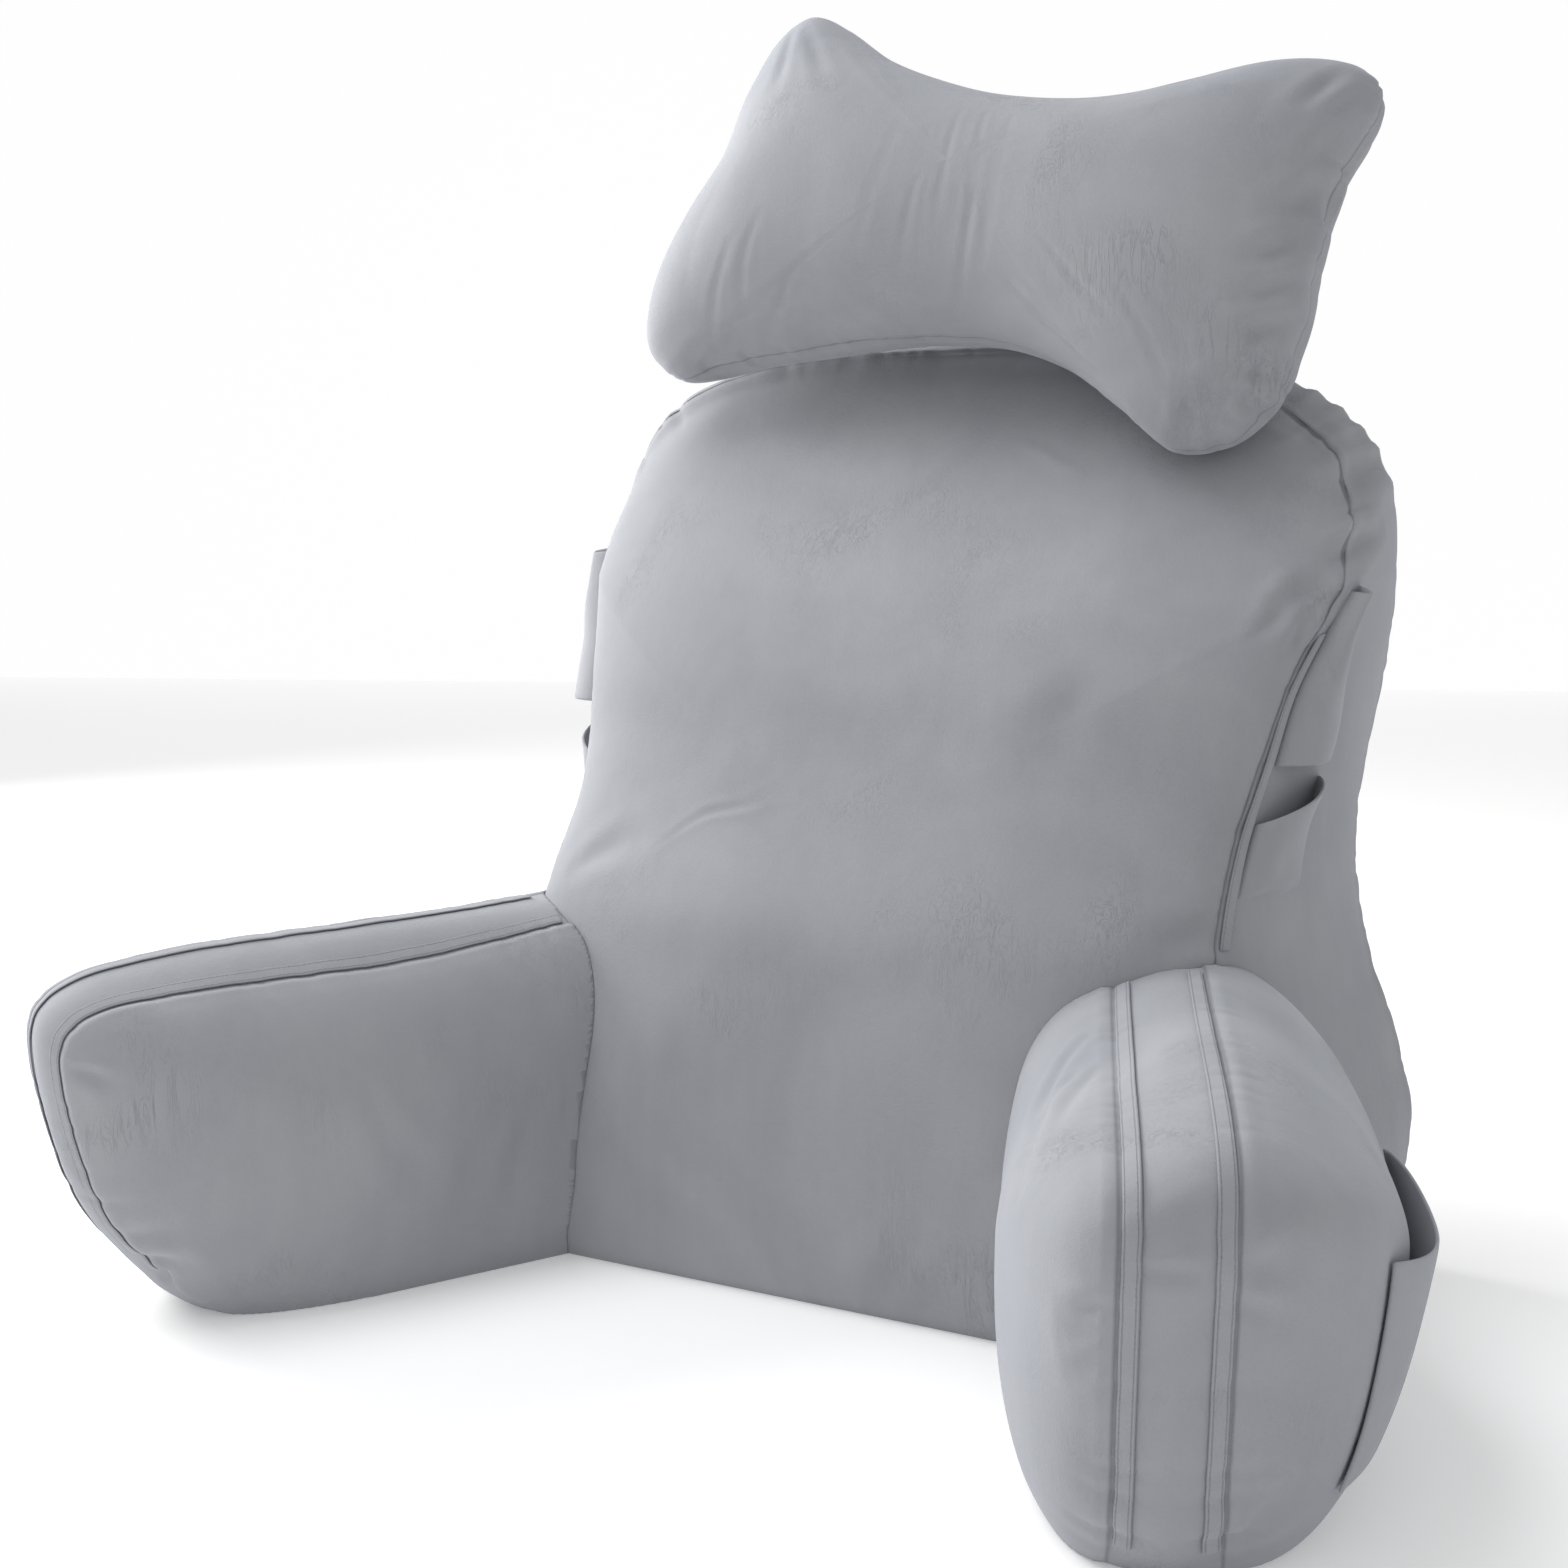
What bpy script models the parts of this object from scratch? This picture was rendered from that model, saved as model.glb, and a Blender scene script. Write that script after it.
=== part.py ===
"""Backrest pillow: a reclined stuffed back with two stuffed arms, a bone-shaped neck pillow and sewn pockets.

Metres, +Z up. The sitter faces -Y, the pillow stands on Z = 0, and +X is the right arm in a front view.
"""

import math

import bmesh
import bpy
from mathutils import Vector

# Driving sizes
BACK_TOP = 0.597
BACK_CENTRE = 0.28
SHOULDER = 0.450
ARCH_POWER = 2.7
FRONT_CROWN = 0.064
REAR_CROWN = 0.022
GUSSET_BULGE = 0.014
SETTLE = 0.010

ARM_ROOT = (0.195, 0.0)
ARM_SPLAY = math.radians(22.6)
BAND_WIDTH = 0.054
INNER_CROWN = {1: 0.060, -1: 0.049}
OUTER_CROWN = 0.100
ARM_CENTRE = (0.110, 0.100)
TOE_START = 0.15
TOE_END = 0.30
TOE_HEIGHT = 0.11
LEFT_TOE_LIFT = 0.018
RIGHT_TOE_PUSH = 0.016

# The middle of the pillow's box before it is moved onto the origin
MIDDLE = (0.0, 0.0027445)

NECK_CENTRE = (0.016, 0.202, 0.697)
NECK_LEAN = math.radians(17.0)
NECK_CROWN = 0.070

TAPE_HEIGHT = 0.0012
TAPE_SINK = 0.0015
CLOTH = 0.002
SEAT = 0.0008
GAP = 0.00045

# Tapes: first and last row of the arm's outline, and the heights on the back's front seam
TAPE_FIRST = 4
TAPE_LAST = 16
INNER_TAPE_STEPS = (0.01, 0.19)
OUTER_TAPE_STEPS = (0.81, 0.99)
BACK_TAPE_HEIGHTS = (0.235, 0.25, 0.27, 0.30, 0.33, 0.35, 0.38, 0.40, 0.42)

# Pockets on the outside of the arms
POCKET_BACK = 0.060
POCKET_FRONT = 0.262
POCKET_FOOT = 0.035
POCKET_LIP = 0.146
POCKET_SAG = 0.016
POCKET_GAPE = 0.014

# Patches on the back's side strips: bottom and top height, first and last share of the strip's width
SHEET_ROWS = 7
SHEET_COLUMNS = 8
POCKET_COLUMNS = 12
LEFT_RISE = 0.014
FLAP_SIZE = (0.340, 0.446, 0.060, 0.40)
FLAP_GAPE = {1: (0.013, 0.012), -1: (0.026, 0.014)}
SIDE_POCKET_SIZE = (0.262, 0.328, 0.060, 0.40)
SIDE_POCKET_GAPE = (0.001, 0.013)

# Half outline of the back from the floor to the shoulder, a row for each height
BACK_COLUMNS = ("height", "front_half", "front_y", "rear_half", "rear_y")
BACK_ROWS = [
    (0.000, 0.262, -0.010, 0.272, 0.250),
    (0.050, 0.262, 0.004, 0.300, 0.254),
    (0.100, 0.256, 0.018, 0.306, 0.257),
    (0.150, 0.250, 0.029, 0.294, 0.260),
    (0.200, 0.243, 0.040, 0.274, 0.264),
    (0.240, 0.239, 0.050, 0.262, 0.268),
    (0.294, 0.237, 0.083, 0.256, 0.277),
    (0.340, 0.244, 0.106, 0.259, 0.286),
    (0.385, 0.252, 0.124, 0.265, 0.294),
    (0.430, 0.267, 0.150, 0.268, 0.302),
    (0.470, 0.280, 0.176, 0.266, 0.307),
    (0.530, 0.286, 0.212, 0.258, 0.310),
    (0.597, 0.286, 0.246, 0.250, 0.306),
]

# Side outline of an arm: distance along the arm from its root, height of the inner and the outer seam
ARM_COLUMNS = ("along", "inner_height", "outer_height")
ARM_ROWS = [
    (-0.140, -0.020, -0.020),
    (-0.150, 0.060, 0.060),
    (-0.145, 0.140, 0.140),
    (-0.120, 0.200, 0.206),
    (-0.070, 0.218, 0.228),
    (0.000, 0.217, 0.229),
    (0.060, 0.210, 0.226),
    (0.120, 0.204, 0.224),
    (0.180, 0.203, 0.223),
    (0.240, 0.203, 0.221),
    (0.300, 0.200, 0.214),
    (0.328, 0.194, 0.204),
    (0.341, 0.182, 0.190),
    (0.343, 0.163, 0.168),
    (0.336, 0.124, 0.128),
    (0.324, 0.084, 0.086),
    (0.309, 0.048, 0.049),
    (0.290, 0.018, 0.018),
    (0.264, -0.006, -0.006),
    (0.230, -0.018, -0.018),
    (0.170, -0.022, -0.022),
    (0.090, -0.022, -0.022),
    (0.010, -0.022, -0.022),
    (-0.070, -0.022, -0.022),
]

# Outline of the neck pillow in its own plane: across to the right and up from its centre
NECK_COLUMNS = ("across", "up")
NECK_ROWS = [
    (-0.031, 0.085),
    (-0.088, 0.107),
    (-0.135, 0.139),
    (-0.164, 0.150),
    (-0.186, 0.132),
    (-0.203, 0.089),
    (-0.217, 0.037),
    (-0.244, -0.006),
    (-0.263, -0.050),
    (-0.263, -0.097),
    (-0.234, -0.118),
    (-0.186, -0.107),
    (-0.114, -0.091),
    (-0.041, -0.085),
    (0.021, -0.091),
    (0.072, -0.112),
    (0.112, -0.145),
    (0.150, -0.172),
    (0.190, -0.166),
    (0.217, -0.137),
    (0.230, -0.088),
    (0.232, -0.031),
    (0.240, 0.010),
    (0.255, 0.041),
    (0.255, 0.068),
    (0.230, 0.081),
    (0.193, 0.081),
    (0.135, 0.070),
    (0.078, 0.066),
    (0.021, 0.071),
]

FRONT_RINGS = (0.30, 0.55, 0.75, 0.88, 0.96)
GUSSET_STEPS = (0.0, 0.06, 0.25, 0.5, 0.75, 0.94, 1.0)
REAR_RINGS = (0.95, 0.80, 0.50)
PANEL_RINGS = (0.97, 0.90, 0.78, 0.60, 0.35)
BAND_STEPS = (0.0, 0.19, 0.5, 0.81, 1.0)
NECK_RINGS = (0.30, 0.55, 0.75, 0.88, 0.96)


def fabric(name, colour):
    material = bpy.data.materials.new(name)
    material.use_nodes = True
    shader = material.node_tree.nodes["Principled BSDF"]
    shader.inputs["Base Color"].default_value = (*colour, 1.0)
    shader.inputs["Roughness"].default_value = 0.85
    shader.inputs["Metallic"].default_value = 0.0
    return material


def column(rows, index):
    return [row[index] for row in rows]


def eased(place, knots, values):
    """Value at a place on a smooth curve through the knots, which rise."""
    place = min(max(place, knots[0]), knots[-1])
    last = len(knots) - 1
    cell = next(i for i in range(last) if place <= knots[i + 1])
    slopes = [
        (values[min(i + 1, last)] - values[max(i - 1, 0)])
        / (knots[min(i + 1, last)] - knots[max(i - 1, 0)])
        for i in (cell, cell + 1)
    ]
    span = knots[cell + 1] - knots[cell]
    t = (place - knots[cell]) / span
    return (
        values[cell] * (1 + 2 * t) * (1 - t) ** 2
        + values[cell + 1] * t * t * (3 - 2 * t)
        + slopes[0] * span * t * (1 - t) ** 2
        - slopes[1] * span * t * t * (1 - t)
    )


def rising(value, start, end):
    """0 up to start and 1 from end on, with an eased way between them."""
    part = min(max((value - start) / (end - start), 0.0), 1.0)
    return part * part * (3.0 - 2.0 * part)


def crown(share, edge=2.4, roundness=0.55):
    """Height of a filled panel, 1 at its centre and 0 at its seam."""
    return max(0.0, 1.0 - min(share, 1.0) ** edge) ** roundness


def closed_mesh(name, rings, material, first_pole=None, last_pole=None):
    """Joins rings of points into one closed skin, with a fan to each pole."""
    bm = bmesh.new()
    loops = [[bm.verts.new(point) for point in ring] for ring in rings]
    count = len(loops[0])
    for lower, upper in zip(loops, loops[1:]):
        for i in range(count):
            j = (i + 1) % count
            bm.faces.new((lower[i], lower[j], upper[j], upper[i]))
    for pole, loop in ((first_pole, loops[0]), (last_pole, loops[-1])):
        tip = bm.verts.new(pole)
        for i in range(count):
            bm.faces.new((loop[i], loop[(i + 1) % count], tip))
    bmesh.ops.triangulate(bm, faces=bm.faces[:])
    bmesh.ops.recalc_face_normals(bm, faces=bm.faces[:])
    return finished(name, bm, material)


def finished(name, bm, material):
    mesh = bpy.data.meshes.new(name)
    bm.to_mesh(mesh)
    bm.free()
    mesh.materials.append(material)
    mesh.shade_smooth()
    obj = bpy.data.objects.new(name, mesh)
    bpy.context.scene.collection.objects.link(obj)
    return obj


def swollen_copy(obj, distance):
    """A hidden copy a hair larger all round, which cuts the neighbours and leaves the gap."""
    bm = bmesh.new()
    bm.from_mesh(obj.data)
    bm.normal_update()
    moves = [(vert, vert.normal * distance * vert.calc_shell_factor()) for vert in bm.verts]
    for vert, move in moves:
        vert.co += move
    cutter = finished(obj.name + "_cutter", bm, obj.data.materials[0])
    cutter.hide_render = True
    cutter.display_type = "WIRE"
    return cutter


def cut(obj, *cutters):
    for cutter in cutters:
        modifier = obj.modifiers.new("clear_of_" + cutter.name, "BOOLEAN")
        modifier.operation = "DIFFERENCE"
        modifier.solver = "EXACT"
        modifier.object = cutter


# Back cushion


def back_value(height, name):
    return eased(height, column(BACK_ROWS, 0), column(BACK_ROWS, BACK_COLUMNS.index(name)))


def back_outline(which):
    """Closed outline of the front or the rear seam, as (across, height), from the middle of the floor edge."""
    right = [(share * back_value(0.0, which), -SETTLE) for share in (0.0, 0.35, 0.7, 0.93)]
    heights = (0.012, 0.05, 0.10, 0.15, 0.20, 0.25, 0.30, 0.35, 0.40, 0.44)
    right += [(back_value(height, which), height) for height in heights]
    arch_half = back_value(SHOULDER, which)
    steps = 10
    for step in range(steps):
        angle = math.radians(90.0) * (step / steps) ** 0.9
        across = arch_half * math.cos(angle) ** (2 / ARCH_POWER)
        rise = (BACK_TOP - SHOULDER) * math.sin(angle) ** (2 / ARCH_POWER)
        right.append((across, SHOULDER + rise))
    left = [(-across, height) for across, height in reversed(right[1:])]
    return right + [(0.0, BACK_TOP)] + left


def back_front_point(seam, share):
    across = seam[0] * share
    height = BACK_CENTRE + (seam[1] - BACK_CENTRE) * share
    depth = back_value(height, "front_y") - FRONT_CROWN * crown(share)
    return (across, depth, max(height, 0.0))


def back_rear_point(seam, share):
    across = seam[0] * share
    height = BACK_CENTRE + (seam[1] - BACK_CENTRE) * share
    depth = back_value(height, "rear_y") + REAR_CROWN * crown(share)
    return (across, depth, max(height, 0.0))


def back_gusset_point(front, rear, step):
    """A point of the side strip, which swells outwards between its two seams."""
    start = Vector((front[0], back_value(front[1], "front_y"), front[1]))
    end = Vector((rear[0], back_value(rear[1], "rear_y"), rear[1]))
    point = start.lerp(end, step)
    away = Vector((front[0], 0.0, front[1] - BACK_CENTRE)).normalized()
    swell = GUSSET_BULGE * math.sin(math.pi * step) ** 0.7
    point += away * swell * (1.0 if front[1] > 0.0 else 0.0)
    point.z = max(point.z, 0.0)
    return point


def back_cushion(material):
    front = back_outline("front_half")
    rear = back_outline("rear_half")
    rings = [[back_front_point(seam, share) for seam in front] for share in FRONT_RINGS]
    rings += [
        [back_gusset_point(a, b, step) for a, b in zip(front, rear)] for step in GUSSET_STEPS
    ]
    rings += [[back_rear_point(seam, share) for seam in rear] for share in REAR_RINGS]
    centre = (0.0, BACK_CENTRE)
    poles = back_front_point(centre, 0.0), back_rear_point(centre, 0.0)
    return closed_mesh("back_cushion", rings, material, *poles)


# Arms


def arm_point(side, along, out, height):
    """World point of arm-space sizes. The side is 1 for the right arm and -1 for the left."""
    toe = rising(along, TOE_START, TOE_END) * (1.0 - rising(height, 0.0, TOE_HEIGHT))
    if side < 0:
        height += LEFT_TOE_LIFT * toe
    else:
        along += RIGHT_TOE_PUSH * toe
    x = ARM_ROOT[0] + along * math.sin(ARM_SPLAY) + out * math.cos(ARM_SPLAY)
    y = ARM_ROOT[1] - along * math.cos(ARM_SPLAY) + out * math.sin(ARM_SPLAY)
    return (side * x, y, max(height, 0.0))


def arm_outline(which):
    index = ARM_COLUMNS.index(which)
    return [(row[0], row[index]) for row in ARM_ROWS]


def arm_panel_point(side, seam, share, which):
    along = ARM_CENTRE[0] + (seam[0] - ARM_CENTRE[0]) * share
    height = ARM_CENTRE[1] + (seam[1] - ARM_CENTRE[1]) * share
    if which == "inner":
        out = -INNER_CROWN[side] * crown(share)
    else:
        out = BAND_WIDTH + OUTER_CROWN * crown(share, 2.2, 0.6)
    return arm_point(side, along, out, height)


def arm_band_point(side, inner, outer, step):
    swell = 0.005 * math.sin(math.pi * step)
    along = inner[0] + (outer[0] - inner[0]) * step
    height = inner[1] + (outer[1] - inner[1]) * step
    reach = math.hypot(along - ARM_CENTRE[0], height - ARM_CENTRE[1])
    along += swell * (along - ARM_CENTRE[0]) / reach
    height += swell * (height - ARM_CENTRE[1]) / reach
    return arm_point(side, along, BAND_WIDTH * step, height)


def arm(name, side, material):
    inner = arm_outline("inner_height")
    outer = arm_outline("outer_height")
    shares = tuple(reversed(PANEL_RINGS))
    rings = [[arm_panel_point(side, seam, share, "inner") for seam in inner] for share in shares]
    rings += [
        [arm_band_point(side, a, b, step) for a, b in zip(inner, outer)] for step in BAND_STEPS
    ]
    rings += [
        [arm_panel_point(side, seam, share, "outer") for seam in outer] for share in PANEL_RINGS
    ]
    poles = [arm_panel_point(side, ARM_CENTRE, 0.0, panel) for panel in ("inner", "outer")]
    return closed_mesh(name, rings, material, *poles)


# Neck pillow


def neck_point(seam, share, face):
    """Face is -1 towards the sitter and 1 towards the rear."""
    across = seam[0] * share
    up = seam[1] * share
    depth = face * NECK_CROWN * crown(share, 2.6, 0.5)
    return (
        NECK_CENTRE[0] + across,
        NECK_CENTRE[1] + up * math.sin(NECK_LEAN) + depth * math.cos(NECK_LEAN),
        NECK_CENTRE[2] + up * math.cos(NECK_LEAN) - depth * math.sin(NECK_LEAN),
    )


def neck_pillow(material):
    rings = [[neck_point(seam, share, -1) for seam in NECK_ROWS] for share in NECK_RINGS]
    rings += [[neck_point(seam, 1.0, -1) for seam in NECK_ROWS]]
    rings += [[neck_point(seam, share, 1) for seam in NECK_ROWS] for share in reversed(NECK_RINGS)]
    poles = neck_point((0.0, 0.0), 0.0, -1), neck_point((0.0, 0.0), 0.0, 1)
    return closed_mesh("neck_pillow", rings, material, *poles)


def laid_sheet(name, rows, material):
    """A closed sheet from rows of (outer, inner) point pairs."""
    bm = bmesh.new()
    outer = [[bm.verts.new(pair[0]) for pair in row] for row in rows]
    inner = [[bm.verts.new(pair[1]) for pair in row] for row in rows]
    last = len(rows[0]) - 1
    for grid in (outer, inner):
        for low, high in zip(grid, grid[1:]):
            for i in range(last):
                bm.faces.new((low[i], low[i + 1], high[i + 1], high[i]))
    for i in range(last):
        bm.faces.new((outer[0][i], outer[0][i + 1], inner[0][i + 1], inner[0][i]))
        bm.faces.new((outer[-1][i], outer[-1][i + 1], inner[-1][i + 1], inner[-1][i]))
    for a, b, c, d in zip(outer, outer[1:], inner, inner[1:]):
        bm.faces.new((a[0], b[0], d[0], c[0]))
        bm.faces.new((a[last], b[last], d[last], c[last]))
    bmesh.ops.triangulate(bm, faces=bm.faces[:])
    bmesh.ops.recalc_face_normals(bm, faces=bm.faces[:])
    return finished(name, bm, material)


# Seam tapes


def arm_tape(name, side, steps, material):
    """A felled tape along one band seam, over the top of the arm and down its front."""
    inner = arm_outline("inner_height")
    outer = arm_outline("outer_height")
    rows = []
    for index in range(TAPE_FIRST, TAPE_LAST + 1):
        pairs = []
        before, after = index - 1, index + 1
        for step in steps:
            point = Vector(arm_band_point(side, inner[index], outer[index], step))
            ahead = Vector(arm_band_point(side, inner[after], outer[after], step))
            behind = Vector(arm_band_point(side, inner[before], outer[before], step))
            near = Vector(arm_band_point(side, inner[index], outer[index], step - 0.05))
            far = Vector(arm_band_point(side, inner[index], outer[index], step + 0.05))
            normal = side * (far - near).cross(ahead - behind).normalized()
            pairs.append((point + normal * TAPE_HEIGHT, point - normal * TAPE_SINK))
        rows.append(pairs)
    return laid_sheet(name, rows, material)


def gusset_at(side, height, step):
    """World point of the back's side strip at a height, from 0 at the front seam to 1 at the rear."""
    front = (back_value(height, "front_half"), height)
    rear = (back_value(height, "rear_half"), height)
    point = back_gusset_point(front, rear, step)
    return Vector((side * point.x, point.y, point.z))


def gusset_normal(side, height, step):
    up = gusset_at(side, height + 0.01, step) - gusset_at(side, height - 0.01, step)
    low, high = max(step - 0.03, 0.002), step + 0.03
    back = gusset_at(side, height, high) - gusset_at(side, height, low)
    return side * back.cross(up).normalized()


def back_tape(name, side, material):
    rows = []
    for height in BACK_TAPE_HEIGHTS:
        pairs = []
        for step in (0.008, 0.052):
            point = gusset_at(side, height, step)
            normal = gusset_normal(side, height, step)
            pairs.append((point + normal * TAPE_HEIGHT, point - normal * TAPE_SINK))
        rows.append(pairs)
    return laid_sheet(name, rows, material)


# Pockets


def side_sheet(name, side, raise_by, size, gape, material):
    """A cloth patch over the back's side strip, which stands off by gape at its top and bottom edge."""
    low, high, first, last = size
    rows = []
    for i in range(SHEET_ROWS + 1):
        up = i / SHEET_ROWS
        height = low + (high - low) * up + raise_by
        pairs = []
        for j in range(SHEET_COLUMNS + 1):
            over = j / SHEET_COLUMNS
            step = first + (last - first) * over
            stand = math.sin(math.pi * over) ** 0.8 * (gape[0] + (gape[1] - gape[0]) * up)
            point = gusset_at(side, height, step)
            normal = gusset_normal(side, height, step)
            outer = point + normal * (stand + CLOTH - SEAT)
            pairs.append((outer, point + normal * (stand - SEAT)))
        rows.append(pairs)
    return laid_sheet(name, rows, material)


def outline_share(along, height):
    """How far a place on the outer panel lies from the panel's centre towards its seam."""
    seam = arm_outline("outer_height")
    reach = math.hypot(along - ARM_CENTRE[0], height - ARM_CENTRE[1])
    if reach < 1e-6:
        return 0.0
    aim = Vector((along - ARM_CENTRE[0], height - ARM_CENTRE[1]))
    for start, end in zip(seam, seam[1:] + seam[:1]):
        first = Vector(start) - Vector(ARM_CENTRE)
        edge = Vector(end) - Vector(start)
        turn = aim.x * edge.y - aim.y * edge.x
        if abs(turn) < 1e-9:
            continue
        far = (first.x * edge.y - first.y * edge.x) / turn
        part = (first.x * aim.y - first.y * aim.x) / turn
        if far > 0.0 and -1e-6 <= part <= 1.0 + 1e-6:
            return reach / (far * aim.length)
    return 1.0


def outer_panel_at(side, along, height, lift=0.0):
    out = BAND_WIDTH + OUTER_CROWN * crown(outline_share(along, height), 2.2, 0.6)
    return Vector(arm_point(side, along, out + lift, height))


def arm_pocket(name, side, material):
    """A patch pocket on the outside of the arm, sewn at its sides and foot, with a sagging open lip."""
    rows = []
    for i in range(SHEET_ROWS + 1):
        up = i / SHEET_ROWS
        pairs = []
        for j in range(POCKET_COLUMNS + 1):
            over = j / POCKET_COLUMNS
            along = POCKET_BACK + (POCKET_FRONT - POCKET_BACK) * over
            lip = POCKET_LIP - POCKET_SAG * math.sin(math.pi * over)
            height = POCKET_FOOT + (lip - POCKET_FOOT) * up
            stand = POCKET_GAPE * math.sin(math.pi * over**0.7) ** 0.8 * up**1.2
            outer = outer_panel_at(side, along, height, stand + CLOTH - SEAT)
            inner = outer_panel_at(side, along, height, stand - SEAT)
            pairs.append((outer, inner))
        rows.append(pairs)
    return laid_sheet(name, rows, material)


def build():
    for obj in list(bpy.data.objects):
        bpy.data.objects.remove(obj)
    velour = fabric("grey_velour", (0.30, 0.31, 0.33))
    tape_cloth = fabric("grey_velour_tape", (0.33, 0.34, 0.36))
    back = back_cushion(velour)
    back_cutter = swollen_copy(back, GAP)
    for hand, side in (("right", 1), ("left", -1)):
        cushion = arm("arm_" + hand, side, velour)
        arm_cutter = swollen_copy(cushion, GAP)
        cut(cushion, back_cutter)
        for place, steps in (("inner", INNER_TAPE_STEPS), ("outer", OUTER_TAPE_STEPS)):
            tape = arm_tape(f"arm_tape_{place}_{hand}", side, steps, tape_cloth)
            cut(tape, arm_cutter, back_cutter)
        pocket = arm_pocket("arm_pocket_" + hand, side, velour)
        cut(pocket, arm_cutter, back_cutter)
        tape = back_tape("back_tape_" + hand, side, tape_cloth)
        cut(tape, back_cutter)
        lift = LEFT_RISE if side < 0 else 0.0
        flap = side_sheet("side_flap_" + hand, side, lift, FLAP_SIZE, FLAP_GAPE[side], velour)
        cut(flap, back_cutter)
        size, gape = SIDE_POCKET_SIZE, SIDE_POCKET_GAPE
        pocket = side_sheet("side_pocket_" + hand, side, lift, size, gape, velour)
        cut(pocket, back_cutter)
    neck = neck_pillow(velour)
    cut(neck, back_cutter)
    for obj in bpy.data.objects:
        obj.location = (-MIDDLE[0], -MIDDLE[1], 0.0)


build()
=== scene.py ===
"""Looks of the backrest pillow: four stuffed velour cushions, their seam tapes and their sewn pockets.

Metres, +Z up. The sitter faces -Y and +X is the right arm in a front view.
"""

import math

import bmesh
import bpy
import numpy as np
from mathutils import Matrix, Vector
from mathutils.bvhtree import BVHTree


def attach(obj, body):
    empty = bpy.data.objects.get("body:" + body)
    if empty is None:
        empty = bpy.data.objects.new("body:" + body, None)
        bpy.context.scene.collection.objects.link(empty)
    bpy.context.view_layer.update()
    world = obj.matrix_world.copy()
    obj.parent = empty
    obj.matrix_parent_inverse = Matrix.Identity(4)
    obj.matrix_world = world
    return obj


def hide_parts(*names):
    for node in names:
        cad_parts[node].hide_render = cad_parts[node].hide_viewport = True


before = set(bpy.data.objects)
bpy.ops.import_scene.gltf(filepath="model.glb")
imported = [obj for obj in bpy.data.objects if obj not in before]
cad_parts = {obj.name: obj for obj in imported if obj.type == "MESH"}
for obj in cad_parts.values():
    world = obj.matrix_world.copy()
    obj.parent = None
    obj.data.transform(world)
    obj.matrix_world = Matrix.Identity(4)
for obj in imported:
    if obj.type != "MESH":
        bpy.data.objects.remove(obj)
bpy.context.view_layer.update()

# Sizes of the cushions, as in the solids, but with a fuller left shoulder of the back
BACK_TOP = 0.597
BACK_CENTRE = 0.28
SHOULDER = 0.450
ARCH_POWER = 2.7
LEFT_ARCH_POWER = 4.0
FRONT_CROWN = 0.064
REAR_CROWN = 0.022
GUSSET_BULGE = 0.014
SETTLE = 0.010
ARM_ROOT = (0.195, 0.0)
ARM_SPLAY = math.radians(22.6)
BAND_WIDTH = 0.054
INNER_CROWN = {1: 0.060, -1: 0.049}
OUTER_CROWN = 0.100
ARM_CENTRE = (0.110, 0.100)
TOE_START = 0.15
TOE_END = 0.30
TOE_HEIGHT = 0.11
LEFT_TOE_LIFT = 0.018
RIGHT_TOE_PUSH = 0.016
MIDDLE_Y = 0.0027445
NECK_CENTRE = (0.016, 0.202, 0.697)
NECK_LEAN = math.radians(17.0)

BACK_COLUMNS = ("height", "front_half", "front_y", "rear_half", "rear_y")
BACK_ROWS = [
    (0.000, 0.262, -0.010, 0.272, 0.250),
    (0.050, 0.262, 0.004, 0.300, 0.254),
    (0.100, 0.256, 0.018, 0.306, 0.257),
    (0.150, 0.250, 0.029, 0.294, 0.260),
    (0.200, 0.243, 0.040, 0.274, 0.264),
    (0.240, 0.239, 0.050, 0.262, 0.268),
    (0.294, 0.237, 0.083, 0.256, 0.277),
    (0.340, 0.244, 0.106, 0.259, 0.286),
    (0.385, 0.252, 0.124, 0.265, 0.294),
    (0.430, 0.267, 0.150, 0.268, 0.302),
    (0.470, 0.280, 0.176, 0.266, 0.307),
    (0.530, 0.286, 0.212, 0.258, 0.310),
    (0.597, 0.286, 0.246, 0.250, 0.306),
]

# Outline of an arm seen from its side: distance along it from its root, heights of its inner and outer seam
ARM_ROWS = [
    (-0.140, -0.020, -0.020),
    (-0.150, 0.060, 0.060),
    (-0.145, 0.140, 0.140),
    (-0.120, 0.200, 0.206),
    (-0.070, 0.218, 0.228),
    (0.000, 0.217, 0.229),
    (0.060, 0.210, 0.226),
    (0.120, 0.204, 0.224),
    (0.180, 0.203, 0.223),
    (0.240, 0.203, 0.221),
    (0.300, 0.200, 0.214),
    (0.328, 0.194, 0.204),
    (0.341, 0.182, 0.190),
    (0.343, 0.163, 0.168),
    (0.336, 0.124, 0.128),
    (0.324, 0.084, 0.086),
    (0.309, 0.048, 0.049),
    (0.290, 0.018, 0.018),
    (0.264, -0.006, -0.006),
    (0.230, -0.018, -0.018),
    (0.170, -0.022, -0.022),
    (0.090, -0.022, -0.022),
    (0.010, -0.022, -0.022),
    (-0.070, -0.022, -0.022),
]

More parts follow.
